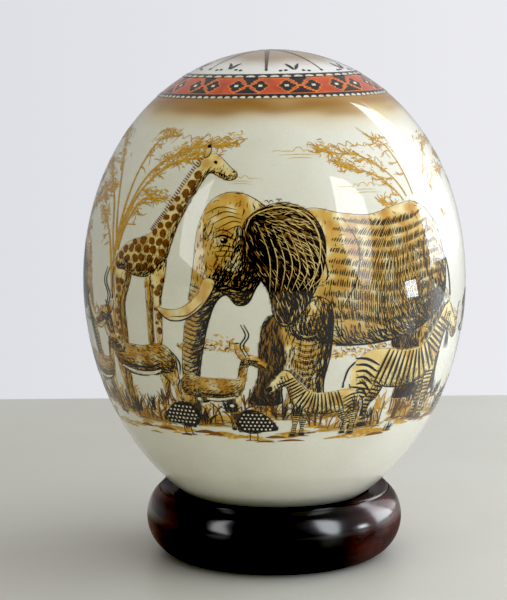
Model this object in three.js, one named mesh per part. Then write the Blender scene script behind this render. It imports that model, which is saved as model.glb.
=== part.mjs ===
// A decorated ostrich egg standing on a turned wooden ring.
//
// Units are millimetres and +Z is up. The origin is the centre of the stand's flat foot,
// so the whole object stands on the plane z = 0 with the egg's long axis on the Z axis.
//
// There are two loose pieces, each a solid of revolution:
//   egg         one solid shell, a little fuller in its upper half, blunt end up
//   stand_ring  a rounded hardwood ring with a beaded rim, a dished top and a through hole
import * as THREE from "three";

// ---- Driving dimensions ---------------------------------------------------------------

// Egg: r = EGG_RADIUS * cos(t) * (1 + EGG_TAPER * sin(t) + EGG_FULLNESS * sin(t)^2),
// with t from -90 degrees at the lower pole to +90 degrees at the upper one.
const EGG_LENGTH = 156.4; // pole to pole
const EGG_RADIUS = 63.0; // at mid-length
const EGG_TAPER = 0.036; // how much fuller the upper half is than the lower one
const EGG_FULLNESS = 0.005; // how much both ends are filled out
const EGG_POLE_HEIGHT = 10.7; // lower pole above the surface that the stand rests on

// Stand: the outside is two elliptical arcs that meet at the widest circle.
const RING_RADIUS = 42.6; // widest circle
const RING_WAIST_HEIGHT = 12.4; // height of the widest circle
const RING_HEIGHT = 22.6; // foot to the crest of the rim bead
const FOOT_ARC = { across: 12.5, high: 13.0 }; // semi-axes of the arc below the widest circle
const SHOULDER_ARC = { across: 9.0, high: 11.3 }; // semi-axes of the arc above it
const SHOULDER_SWEEP = THREE.MathUtils.degToRad(57); // where the shoulder stops, at the quirk
const QUIRK_DEPTH = 0.35; // the fine groove turned between shoulder and bead
const BEAD_RADIUS = 0.5; // half-round bead along the rim
const DISH_DEPTH = 0.7; // how far the top is hollowed between bead and seat
const SEAT_HEIGHTS = [17.8, 21.8]; // lower and upper edge of the bevel that carries the egg
const SEAT_GAP = 0.72; // across, which leaves 0.3 or a little more square to the egg
const FOOT_CHAMFER = 0.8; // breaks the hole's lower edge

// Facets.
const SEGMENTS = 72; // round the axis
const EGG_STEPS = 34; // pole to pole
const FOOT_STEPS = 9;
const SHOULDER_STEPS = 7;
const BEAD_STEPS = 5;
const DISH_STEPS = 4;

// ---- Shapes ---------------------------------------------------------------------------

const point = (radius, height) => new THREE.Vector2(radius, height);

// The egg's radius where its axis has been followed a share s of the half-length from the
// middle: -1 at the lower pole, 0 at mid-length and 1 at the upper pole.
function eggRadius(s) {
  const round = Math.sqrt(Math.max(0, 1 - s * s));
  return EGG_RADIUS * round * (1 + EGG_TAPER * s + EGG_FULLNESS * s * s);
}

const EGG_MIDDLE = EGG_POLE_HEIGHT + EGG_LENGTH / 2;
const eggHeight = (s) => EGG_MIDDLE + (s * EGG_LENGTH) / 2;
const eggRadiusAtHeight = (z) => eggRadius((z - EGG_MIDDLE) / (EGG_LENGTH / 2));

function eggProfile() {
  const points = [];
  for (let i = 0; i <= EGG_STEPS; i++) {
    const s = -Math.cos((Math.PI * i) / EGG_STEPS);
    const onAxis = i === 0 || i === EGG_STEPS;
    points.push(point(onAxis ? 0 : eggRadius(s), eggHeight(s)));
  }
  return points;
}

// An arc of an ellipse centred on (radius, height), from one angle to the other.
function arc(centre, across, high, from, to, steps) {
  const points = [];
  for (let i = 0; i <= steps; i++) {
    const angle = from + ((to - from) * i) / steps;
    points.push(
      point(centre.x + across * Math.cos(angle), centre.y + high * Math.sin(angle)),
    );
  }
  return points;
}

// The foot's edge, up round the belly and over the shoulder.
function outerArcs() {
  const footSweep = Math.asin(RING_WAIST_HEIGHT / FOOT_ARC.high);
  const below = arc(
    point(RING_RADIUS - FOOT_ARC.across, RING_WAIST_HEIGHT),
    FOOT_ARC.across, FOOT_ARC.high, -footSweep, 0, FOOT_STEPS,
  );
  const above = arc(
    point(RING_RADIUS - SHOULDER_ARC.across, RING_WAIST_HEIGHT),
    SHOULDER_ARC.across, SHOULDER_ARC.high, 0, SHOULDER_SWEEP, SHOULDER_STEPS,
  );
  return [...below, ...above.slice(1)];
}

// The bead stands on the inner end of the shoulder, behind a fine groove.
function rimBead(shoulderEnd) {
  const crest = point(shoulderEnd.x - QUIRK_DEPTH - BEAD_RADIUS, RING_HEIGHT - BEAD_RADIUS);
  const quirk = point(shoulderEnd.x - QUIRK_DEPTH, shoulderEnd.y - QUIRK_DEPTH / 2);
  return [quirk, ...arc(crest, BEAD_RADIUS, BEAD_RADIUS, 0, Math.PI, BEAD_STEPS)];
}

// From the bead's inner foot across the shallow dish to the bevel under the egg.
function dishAndSeat(beadEnd) {
  const [low, high] = SEAT_HEIGHTS;
  const seatTop = point(eggRadiusAtHeight(high) + SEAT_GAP, high);
  const seatFoot = point(eggRadiusAtHeight(low) + SEAT_GAP, low);
  const dish = [];
  for (let i = 1; i < DISH_STEPS; i++) {
    const share = i / DISH_STEPS;
    const level = THREE.MathUtils.lerp(beadEnd.y, high, share);
    dish.push(
      point(
        THREE.MathUtils.lerp(beadEnd.x, seatTop.x, share),
        level - DISH_DEPTH * Math.sin(Math.PI * share),
      ),
    );
  }
  return [...dish, seatTop, seatFoot];
}

function ringProfile() {
  const outside = outerArcs();
  const bead = rimBead(outside.at(-1));
  const top = dishAndSeat(bead.at(-1));
  const holeRadius = top.at(-1).x;
  const foot = [point(holeRadius, FOOT_CHAMFER), point(holeRadius + FOOT_CHAMFER, 0)];
  const points = [...outside, ...bead, ...top, ...foot];
  return [...points, points[0].clone()];
}

// Turns a profile of (radius, height) about the Z axis.
function turned(profile) {
  return new THREE.LatheGeometry(profile, SEGMENTS).rotateX(Math.PI / 2);
}

// ---- Pieces ---------------------------------------------------------------------------

const varnishedShell = new THREE.MeshStandardMaterial({
  name: "varnished_shell",
  color: 0xe9e4d2,
  roughness: 0.08,
  metalness: 0,
});

const lacqueredWood = new THREE.MeshStandardMaterial({
  name: "lacquered_wood",
  color: 0x2a1210,
  roughness: 0.22,
  metalness: 0,
});

const egg = new THREE.Mesh(turned(eggProfile()), varnishedShell);
egg.name = "egg";

const standRing = new THREE.Mesh(turned(ringProfile()), lacqueredWood);
standRing.name = "stand_ring";

const ostrichEgg = new THREE.Group();
ostrichEgg.name = "ostrich_egg_on_ring";
ostrichEgg.add(egg, standRing);

export default ostrichEgg;
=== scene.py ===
"""The looks of a decorated ostrich egg on its lacquered ring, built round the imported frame.

The shell and the ring are turned again from the same profiles, only finer. The beadwork band is
a thin layer of painted cells, and the marks on the cap and the savanna frieze's lines are thin
ribbons of ink, all just above the shell. The fills between the lines are colours on the shell
itself. The frieze is drawn in millimetres on flat sheets, one for each figure, and every sheet
is laid on the shell round its own meridian.
"""
import math

import bpy
import numpy as np
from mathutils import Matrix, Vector


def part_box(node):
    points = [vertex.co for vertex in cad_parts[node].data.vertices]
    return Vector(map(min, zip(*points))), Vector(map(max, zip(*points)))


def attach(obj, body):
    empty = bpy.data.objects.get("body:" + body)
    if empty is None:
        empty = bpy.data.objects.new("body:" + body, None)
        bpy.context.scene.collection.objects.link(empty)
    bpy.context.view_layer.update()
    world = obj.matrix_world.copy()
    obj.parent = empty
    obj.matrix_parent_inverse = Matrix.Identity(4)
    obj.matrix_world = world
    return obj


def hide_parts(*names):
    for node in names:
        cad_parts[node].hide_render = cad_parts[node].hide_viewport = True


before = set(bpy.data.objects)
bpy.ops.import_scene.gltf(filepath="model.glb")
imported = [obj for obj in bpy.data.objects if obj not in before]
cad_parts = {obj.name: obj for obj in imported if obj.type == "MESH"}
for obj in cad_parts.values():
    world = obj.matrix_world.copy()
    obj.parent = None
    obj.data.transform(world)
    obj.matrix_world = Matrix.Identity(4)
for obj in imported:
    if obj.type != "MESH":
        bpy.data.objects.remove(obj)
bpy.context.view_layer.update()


# ---- curves ----


def smooth(points, per_span=6, closed=True):
    """A Catmull-Rom curve through the points."""
    p = np.asarray(points, float)
    n = len(p)
    if closed:
        idx = np.arange(n)
        a, b, c, d = p[idx - 1], p[idx], p[(idx + 1) % n], p[(idx + 2) % n]
    else:
        q = np.vstack([2 * p[0] - p[1], p, 2 * p[-1] - p[-2]])
        a, b, c, d = q[:-3], q[1:-2], q[2:-1], q[3:]
    t = (np.arange(per_span) / per_span)[None, :, None]
    a, b, c, d = (k[:, None, :] for k in (a, b, c, d))
    curve = 0.5 * (
        2 * b + (c - a) * t + (2 * a - 5 * b + 4 * c - d) * t**2
        + (3 * b - a - 3 * c + d) * t**3
    )
    curve = curve.reshape(-1, p.shape[1])
    return curve if closed else np.vstack([curve, p[-1]])


def inside(polygon, points):
    """Which points lie inside the closed polygon."""
    shape = points.shape[:-1]
    q = points.reshape(-1, 2)
    low, high = polygon.min(0), polygon.max(0)
    near = np.all((q >= low) & (q <= high), axis=1)
    result = np.zeros(len(q), bool)
    if near.any():
        x, y = q[near, 0][:, None], q[near, 1][:, None]
        x0, y0 = polygon[:, 0], polygon[:, 1]
        x1, y1 = np.roll(x0, -1), np.roll(y0, -1)
        crosses = (y0 > y) != (y1 > y)
        with np.errstate(divide="ignore", invalid="ignore"):
            at = x0 + (y - y0) * (x1 - x0) / (y1 - y0)
        result[near] = (np.sum(crosses & (x < at), axis=1) % 2) == 1
    return result.reshape(shape)


def edge_of(polygon, points):
    """Each point's distance to the outline, and the outline's direction and outward normal there."""
    q = points.reshape(-1, 2)
    a = polygon
    b = np.roll(polygon, -1, axis=0)
    along = b - a
    length2 = np.maximum((along**2).sum(1), 1e-9)
    t = np.clip(((q[:, None] - a) * along).sum(2) / length2, 0, 1)
    gap = q[:, None] - (a + t[..., None] * along)
    d2 = (gap**2).sum(2)
    best = d2.argmin(1)
    distance = np.sqrt(d2[np.arange(len(q)), best])
    tangent = along[best] / np.sqrt(length2[best])[:, None]
    area = 0.5 * np.sum(a[:, 0] * b[:, 1] - b[:, 0] * a[:, 1])
    turn = 1 if area > 0 else -1
    normal = np.stack([tangent[:, 1], -tangent[:, 0]], 1) * turn
    return distance, tangent, normal


def lengths(line):
    """How far along a line each of its points lies."""
    return np.concatenate([[0], np.cumsum(np.hypot(*np.diff(line, axis=0).T))])


def rotated(way, angle):
    """Directions turned by an angle in radians."""
    c, s = np.cos(angle), np.sin(angle)
    return np.stack([way[:, 0] * c - way[:, 1] * s, way[:, 0] * s + way[:, 1] * c], 1)


def point_at(distance, s, line):
    """The places at given distances along a line, where s holds its points' distances."""
    return np.stack([np.interp(distance, s, line[:, k]) for k in (0, 1)], -1)


# ---- drawing ----

LIT_FROM = np.array([-0.5, 0.86]) / np.hypot(-0.5, 0.86)  # the drawings' light, upper left


class Sheet:
    """Collects what one figure draws, in its own millimetres."""

    def __init__(self, seed):
        self.rng = np.random.default_rng(seed)
        self.strokes = {}  # ink -> list of (points (n, k, 2), widths (n, k))
        self.washes = []  # (polygon, colour, shade)
        self.covers = []  # every part's outline

    def ink(self, ink, points, widths):
        points = np.asarray(points, float)
        widths = np.asarray(widths, float)
        if points.ndim == 2:
            points, widths = points[None], widths[None]
        self.strokes.setdefault(ink, []).append([points, widths])

    def line(self, ink, points, width, per_span=4, taper=0.75):
        """One pen line through the points, thinner towards its ends."""
        curve = smooth(points, per_span, closed=False)
        t = np.linspace(0, 1, len(curve))
        swell = 1 - taper * (2 * np.abs(t - 0.5)) ** 2
        self.ink(ink, curve, width * swell)

    def outline(self, ink, polygon, width):
        """The part's contour, heavier below and at the right, as if lit from the upper left."""
        loop = np.vstack([polygon, polygon[:1]])
        _, _, normal = edge_of(polygon, (loop + np.roll(loop, -1, 0)) / 2)
        heavy = np.clip(0.62 + 0.5 * (normal @ np.array([0.55, -0.83])), 0.25, 1.1)
        wobble = 1 + 0.18 * np.sin(np.linspace(0, 37, len(loop)) + self.rng.uniform(0, 6))
        self.ink(ink, loop, width * heavy * wobble)

    def hide(self, polygon):
        """A new part covers what was drawn under it."""
        for layers in self.strokes.values():
            for layer in layers:
                covered = inside(polygon, layer[0])
                layer[1] = np.where(covered, 0.0, layer[1])
        self.covers.append(polygon)

    def part(self, points, wash, shade=0.5, pen=0.42, ink="black"):
        """A filled outline in front of what is already there."""
        polygon = smooth(points)
        self.hide(polygon)
        self.washes.append((polygon, wash, shade))
        if pen:
            self.outline(ink, polygon, pen)
        return polygon

    def hatch(self, polygon, angle, tone=0.3, gap=1.0, length=2.6, width=0.30, ink="black",
              bend=0.7, rim=3.2, rim_tone=0.75, spots=()):
        """Short pen strokes inside a part: more and heavier ones where it is in shade."""
        low, high = polygon.min(0), polygon.max(0)
        nx, ny = np.maximum(((high - low) / gap).astype(int), 1)
        gx, gy = np.meshgrid(np.arange(nx + 1), np.arange(ny + 1))
        seeds = low + (np.stack([gx, gy], -1).reshape(-1, 2)
                       + self.rng.uniform(-0.5, 0.5, (gx.size, 2))) * gap
        seeds = seeds[inside(polygon, seeds)]
        if not len(seeds):
            return
        distance, tangent, normal = edge_of(polygon, seeds)
        shadow_side = np.clip(0.45 - normal @ LIT_FROM, 0, 1.4)
        dark = tone + rim_tone * np.exp(-distance / rim) * shadow_side
        for x, y, r, more in spots:
            dark = dark + more * np.exp(-((seeds - (x, y)) ** 2).sum(1) / r**2)
        dark = np.clip(dark, 0, 1.15)
        chosen = self.rng.uniform(0, 1, len(seeds)) < dark
        seeds, dark, tangent, distance = (k[chosen] for k in (seeds, dark, tangent, distance))
        if not len(seeds):
            return
        angle = angle(seeds) if callable(angle) else np.full(len(seeds), angle, float)
        grain = np.stack([np.cos(np.radians(angle)), np.sin(np.radians(angle))], 1)
        tangent = tangent * np.sign((tangent * grain).sum(1) + 1e-9)[:, None]
        pull = (bend * np.exp(-distance / rim))[:, None]
        heading = grain * (1 - pull) + tangent * pull
        heading /= np.maximum(np.linalg.norm(heading, axis=1), 1e-6)[:, None]
        turn = self.rng.normal(0, 0.16, len(seeds))
        reach = length * self.rng.uniform(0.6, 1.25, len(seeds)) * (0.6 + 0.5 * dark)
        steps = np.linspace(-0.5, 0.5, 5)
        bow = self.rng.normal(0, 0.10, len(seeds))
        heading = rotated(heading, turn)
        side = np.stack([-heading[:, 1], heading[:, 0]], 1)
        path = (seeds[:, None]
                + heading[:, None] * (reach[:, None] * steps)[..., None]
                + side[:, None] * ((bow * reach)[:, None] * (1 - 4 * steps**2))[..., None])
        swell = np.array([0.15, 0.85, 1.0, 0.7, 0.1])
        widths = width * (0.55 + 0.7 * dark)[:, None] * swell
        widths = np.where(inside(polygon, path), widths, 0.0)
        self.ink(ink, path, widths)

    def comb(self, path, length, gap=0.8, width=0.3, lean=0.0, ink="black"):
        """A row of short parallel strokes along a path, longest in the middle."""
        line = smooth(path, 12, closed=False)
        s = lengths(line)
        at = np.arange(gap / 2, s[-1], gap)
        at = at + self.rng.uniform(-0.2, 0.2, len(at)) * gap
        foot = point_at(at, s, line)
        ahead = point_at(at + 0.3, s, line) - foot
        ahead /= np.maximum(np.linalg.norm(ahead, axis=1), 1e-6)[:, None]
        way = rotated(ahead, math.radians(90 + lean))
        share = at / s[-1]
        reach = length * (0.35 + 0.65 * np.sin(math.pi * share)) * self.rng.uniform(
            0.75, 1.2, len(at))
        t = np.linspace(0, 1, 4)
        rows = foot[:, None] + way[:, None] * (reach[:, None] * t)[..., None]
        rows = rows + ahead[:, None] * (0.12 * reach[:, None] * t**2)[..., None]
        widths = width * np.array([0.5, 1.0, 0.8, 0.1]) * self.rng.uniform(
            0.8, 1.2, (len(at), 1))
        self.ink(ink, rows, widths)

    def bands(self, polygon, axis, gap, width, reach, bow, lean=0.0, taper=0.45):
        """Stripes across a part, square to its axis."""
        line = smooth(axis, 12, closed=False)
        s = lengths(line)
        at = np.arange(gap * 0.4, s[-1], gap)
        at = at + self.rng.uniform(-0.12, 0.12, len(at)) * gap
        for i, a in enumerate(at):
            d = point_at(a + 0.4, s, line) - point_at(a - 0.4, s, line)
            d /= max(np.hypot(*d), 1e-6)
            across = np.array([-d[1], d[0]])
            slant = lean(a / s[-1]) if callable(lean) else lean
            across = across * math.cos(slant) + d * math.sin(slant)
            steps = np.linspace(-1, 1, 41)
            path = (point_at(a, s, line) + across * (steps * reach / 2)[:, None]
                    + d * (bow * reach * (steps**2) * 0.5)[:, None])
            within = inside(polygon, path)
            if not within.any():
                continue
            first = last = np.argmin(np.where(within, np.abs(steps), 9))
            while first > 0 and within[first - 1]:
                first -= 1
            while last < len(steps) - 1 and within[last + 1]:
                last += 1
            if last - first < 1:
                continue
            run = path[first:last + 1]
            t = np.linspace(0, 1, 13)
            w = width * (1 - taper * np.abs(2 * t - 1) ** 1.5)
            w = w * (1 + 0.12 * np.sin(t * 9 + i))
            self.ink("black", point_at(t, np.linspace(0, 1, len(run)), run), w)

    def blob(self, ink, x, y, rx, ry, angle=0.0, rough=0.0):
        """A small filled spot, drawn as one short fat stroke."""
        steps = 9
        t = np.sin(np.linspace(-1, 1, steps) * math.pi / 2)
        c, s = math.cos(math.radians(angle)), math.sin(math.radians(angle))
        path = np.array([x, y]) + (t * rx)[:, None] * np.array([c, s])
        w = 2 * ry * np.sqrt(np.maximum(1 - t**2, 0.03)) * (
            1 + rough * self.rng.uniform(-1, 1, steps))
        self.ink(ink, path, w)

    def hooves(self, rx, ry, *places):
        """A dark spot at each foot."""
        for x, y in places:
            self.blob("black", x, y, rx, ry)


# ---- animals ----
# Each one stands on y = 0 with its feet round x = 0, in millimetres.

HIDE, HIDE_DARK, SAND, CREAM = "hide", "hide_dark", "sand", "cream"
IVORY, PLUME, TAN = "ivory", "plume", "tan"


def elephant_hide(d, body):
    """Rows of wrinkles over the body, pale between the dark."""
    d.hatch(body, lambda p: 100 + (p[:, 0] - 8), tone=0.05, gap=0.8, length=2.4, rim=4.2,
            rim_tone=0.95, width=0.28,
            spots=[(-12, 24, 8, 0.6), (16, 20, 6, 0.4), (31, 27, 5, 0.45), (26, 40, 4, 0.3)])
    for k in range(10):
        y = 49.6 - 2.75 * k
        row = np.array([(-2.4 - 0.5 * k, y), (4, y - 1.5), (13, y - 2.3 - 0.08 * k),
                        (22, y - 1.0), (min(26 + 1.8 * k, 33.6), y + 0.9)])
        d.comb(row, 2.3 + 0.16 * k, gap=0.62, width=0.30, lean=-30 + 6 * k)
        d.comb(row[1:4] + (0.5, -1.1), 1.2, gap=1.0, width=0.20, lean=-30 + 6 * k, ink="straw")
    d.line("black", [(28.4, 48), (25.8, 42), (26.6, 35), (30.6, 29)], 0.42)
    d.line("black", [(1.4, 48), (4.2, 42), (3.2, 34), (-1.4, 26)], 0.36)
    d.hatch(body, 15, tone=0.02, gap=1.2, length=3.2, rim=3.6, rim_tone=0.45, width=0.24,
            spots=[(-8, 22, 8, 0.3), (24, 24, 8, 0.2)])


def elephant_leg(d, leg, x0):
    """Wrinkles and toenails, round the leg's middle line at x0."""
    d.hatch(leg, 84, tone=0.34, gap=0.75, length=2.8, rim=2.6, rim_tone=1.1)
    for k in range(11):
        y = 4.0 + 1.55 * k
        d.line("black", [(x0 - 4.2, y + 0.7), (x0, y - 0.5), (x0 + 4.0, y + 0.7)], 0.22)
        d.line("straw", [(x0 - 2.6, y + 1.1), (x0 - 0.4, y + 0.3), (x0 + 1.8, y + 0.7)], 0.2)
    for k in (-3, -1.2, 0.8, 2.8):
        d.blob("cream", x0 + k, 1.1, 0.75, 0.6)
        d.line("black", [(x0 + k - 0.8, 0.7), (x0 + k, 1.9), (x0 + k + 0.8, 0.7)], 0.2)


def elephant_head(d):
    """The head with its trunk and tusk."""
    head = d.part([(-17, 49), (-21, 54.4), (-26.5, 56.6), (-32, 55), (-36, 50.4), (-38.2, 44.5),
                   (-39.2, 38), (-40.4, 31), (-41.6, 24), (-42.2, 17), (-42, 10), (-40, 4.2),
                   (-36.4, 1.4), (-32.6, 2.4), (-31.4, 5.4), (-33.4, 6.6), (-35.8, 6.4),
                   (-37, 10), (-36.4, 17), (-35.4, 23), (-33.4, 28.4), (-30.6, 30.4),
                   (-28, 28.0), (-25, 28.6), (-22.6, 33), (-19, 37)], HIDE, 0.6)

    def trunkwise(p):
        return np.where(p[:, 1] < 33, 8.0, 70.0)
    d.hatch(head, trunkwise, tone=0.22, gap=0.68, length=2.1, rim=3.0, rim_tone=1.15, width=0.28,
            spots=[(-24, 35, 6, 0.8), (-33, 34, 4, 0.6), (-26, 44, 3.4, 0.6), (-29, 51, 5, -0.2),
                   (-35, 46, 2.4, 0.35)])
    d.hatch(head, lambda p: trunkwise(p) + 75, tone=0.03, gap=0.9, length=1.7, rim=2.4,
            rim_tone=0.7, width=0.22, spots=[(-24, 37, 6, 0.5), (-32, 35, 4, 0.4)])
    for k in range(23):
        y = 32.6 - 1.22 * k
        left = np.interp(y, [4, 10, 17, 24, 31], [-40.6, -42, -42.2, -41.6, -40.4])
        right = np.interp(y, [6, 10, 17, 23, 30], [-36.6, -37, -36.4, -35.6, -33.6])
        d.line("black", [(left, y), ((left + right) / 2, y - 0.9), (right, y + 0.1)], 0.28,
               taper=0.5)
        d.line("straw", [(left + 0.5, y + 0.5), ((left + right) / 2, y - 0.3)], 0.2)
    for k in range(5):
        d.line("black", [(-35.6 + 0.8 * k, 50.4 - 1.3 * k), (-31 + k, 52.6 - 1.2 * k),
                         (-26.6 + 0.5 * k, 52 - 1.2 * k)], 0.22)
    d.part([(-33.4, 33.4), (-36.6, 27.6), (-41.4, 23.8), (-46.6, 23.2), (-50.6, 26.2),
            (-46.6, 25.8), (-42.4, 26.8), (-38.4, 30.2), (-36.6, 34.2)], CREAM, 0.1, pen=0.36)
    d.line("sepia", [(-36.4, 28.6), (-41, 24.8), (-46, 24.1)], 0.3)


def elephant_ear(d):
    """The ear, fanned with folds."""
    ear = d.part([(-22, 51.6), (-15, 54), (-8.6, 51.6), (-5.2, 45.6), (-5.6, 38), (-8.4, 31),
                  (-12.4, 24.8), (-16, 22.6), (-18.6, 25.6), (-19.6, 31), (-22.8, 36), (-25.8, 41),
                  (-26, 47)], HIDE_DARK, 0.8, pen=0.5)

    def fan(p):
        return np.degrees(np.arctan2(p[:, 1] - 53, p[:, 0] + 27))
    d.hatch(ear, fan, tone=0.62, gap=0.68, length=3.2, rim=4, rim_tone=0.8,
            spots=[(-20, 44, 6, 0.4), (-10, 44, 5, -0.2), (-14, 30, 5, 0.2)])
    d.line("black", [(-25.6, 47), (-20, 50.6), (-13, 51.2), (-7.6, 48.4)], 0.5)
    for k in range(9):
        x = -22.4 + 1.9 * k
        vein = [(x, 48.6 - 0.4 * k), (x + 2.6, 40 - 0.6 * k), (x + 2.4 - 0.5 * k, 31 + 0.1 * k)]
        d.line("black", vein, 0.34)
        d.line("straw", np.array(vein) + (0.5, 0.3), 0.22)
    d.hatch(ear, fan, tone=0.34, gap=1.0, length=2.6, rim=2.6, rim_tone=0.0, width=0.22,
            ink="straw", spots=[(-12, 47, 6, 0.4), (-8.6, 40, 4, 0.3), (-20, 42, 6, -0.25)])
    d.line("straw", [(-25, 46.6), (-22.6, 50.6), (-15.4, 52.8), (-9.4, 50.6), (-6.4, 45.4),
                     (-6.8, 38.4), (-9.6, 31.6)], 0.34, taper=0.4)


def elephant(seed):
    """Side view, facing left."""
    d = Sheet(seed)
    far_hind = d.part([(13, 24), (24, 24), (25, 12), (24.5, 3), (24, 1.2), (17, 1.2), (16.3, 3),
                       (17, 10), (14, 17)], HIDE_DARK, 0.9)
    d.hatch(far_hind, 80, tone=0.8, gap=0.8)
    far_fore = d.part([(-20, 25), (-11, 24), (-13, 13), (-15.3, 6), (-15.4, 1.6), (-22.6, 1.6),
                       (-23.4, 3.4), (-21.8, 9), (-22, 17)], HIDE_DARK, 0.9)
    d.hatch(far_fore, 95, tone=0.8, gap=0.8)
    d.line("black", [(35, 40), (37.6, 33), (38.6, 25), (37.8, 19)], 0.7, taper=0.3)
    for k in range(7):
        d.line("black", [(37.8, 20), (37.4 + 0.25 * k, 16), (36.6 + 0.45 * k, 12.5)], 0.3)
    near_hind = d.part([(19, 31), (29, 33), (35, 27), (35, 17), (33.6, 8), (34.2, 2), (33.2, 0.2),
                        (25.4, 0.2), (24.4, 2), (25.2, 8), (23.6, 15), (19.5, 21)], HIDE, 0.6)
    body = d.part([(-16, 50), (-8, 52.5), (0, 51), (8, 50.4), (16, 52.3), (23, 53), (29.5, 49.6),
                   (34, 43), (35.8, 35), (34.6, 27), (29, 22.4), (18, 18.6), (6, 17.2), (-6, 17.8),
                   (-14, 20), (-19, 28), (-20, 38), (-18, 46)], HIDE, 0.55)
    near_fore = d.part([(-15.6, 29), (-4.6, 29), (-3.4, 17), (-4.8, 8), (-4.2, 2), (-5.4, 0),
                        (-13.2, 0), (-14.2, 2), (-13.6, 8), (-15.6, 16)], HIDE, 0.6)
    elephant_hide(d, body)
    elephant_leg(d, near_hind, 29.5)
    elephant_leg(d, near_fore, -9.5)
    elephant_head(d)
    elephant_ear(d)
    for lift, pen in ((2.6, 0.24), (1.2, 0.5), (-1.4, 0.36), (-2.7, 0.26), (-4.0, 0.22)):
        d.line("black", [(-33.2, 43.6 + 0.9 * lift), (-30.6, 44.2 + lift),
                         (-27.9, 43.4 + 0.8 * lift)], pen)
    d.blob("black", -30.6, 44.0, 1.0, 0.72)
    d.blob("cream", -31.0, 44.3, 0.26, 0.22)
    d.line("black", [(-34.4, 33.2), (-31.6, 31.0), (-28.4, 30.6), (-25.4, 31.6)], 0.36)
    return d


def zebra_stripes(d, body, hind, fore):
    """Stripes on the body, the rump and the near legs."""
    d.bands(body, [(-13, 24), (-4, 23.4), (6, 23.6), (14, 27)], 2.35, 1.15, reach=26,
            lean=lambda u: 0.30 - 0.42 * u, bow=0.06, taper=0.6)
    d.bands(body, [(13, 28), (17, 33), (20.6, 38.6)], 2.0, 1.05, reach=16, lean=-0.1, bow=0.05)
    for k in range(6):
        x = -12.6 - 0.6 * k
        d.line("black", [(-23.6 + 0.5 * k, 28.2 - 2.5 * k), (-18.6, 27.6 - 2.3 * k),
                         (x - 0.4, 24.8 - 2.4 * k)], 1.0, taper=0.6)
    d.bands(hind, [(-19.4, 17), (-20.4, 12), (-20.6, 6), (-20.2, 2.6)], 1.5, 0.75, reach=9,
            bow=0.06)
    d.bands(fore, [(14.8, 20), (14.6, 12), (15, 6), (15.2, 2.6)], 1.5, 0.75, reach=8, bow=0.06)


def zebra_head(d):
    """Cheek stripes, muzzle, eye, mane and ear."""
    for k in range(6):
        t = k / 5
        x, y = 22.6 + 6.6 * t, 42.8 - 7.4 * t
        d.line("black", [(x, y), (x - 0.9, y - 2.6), (x - 2.4 + 0.5 * t, y - 4.6 + 1.4 * t)],
               0.55, taper=0.6)
    d.blob("black", 31.6, 32.6, 1.9, 1.5, angle=-60)
    d.blob("black", 25.2, 39.6, 0.75, 0.6, angle=-40)
    d.line("black", [(24.2, 40.6), (25.4, 40.8), (26.4, 39.8)], 0.34)
    d.part([(8, 31.2), (11.4, 36.8), (15.4, 41.8), (19.4, 46), (23.6, 47.6), (24.4, 45.2),
            (20.6, 43.4), (17, 39.6), (13, 35.2), (10, 31.8)], IVORY, 0.3, pen=0.3)
    for k in range(26):
        t = k / 25
        x, y = 9.2 + 13.6 * t, 31.8 + 13.4 * t**0.92
        d.line("black", [(x, y), (x - 1.0 + 0.5 * t, y + 2.9)], 0.62 if k % 4 < 2 else 0.3,
               per_span=3, taper=0.5)
    d.part([(20.4, 44.6), (20.0, 48), (21.0, 50.2), (22.6, 48), (22.8, 45)], IVORY, 0.4, pen=0.34)
    d.line("black", [(21.2, 45.6), (21.0, 48.6)], 0.7)


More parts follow.
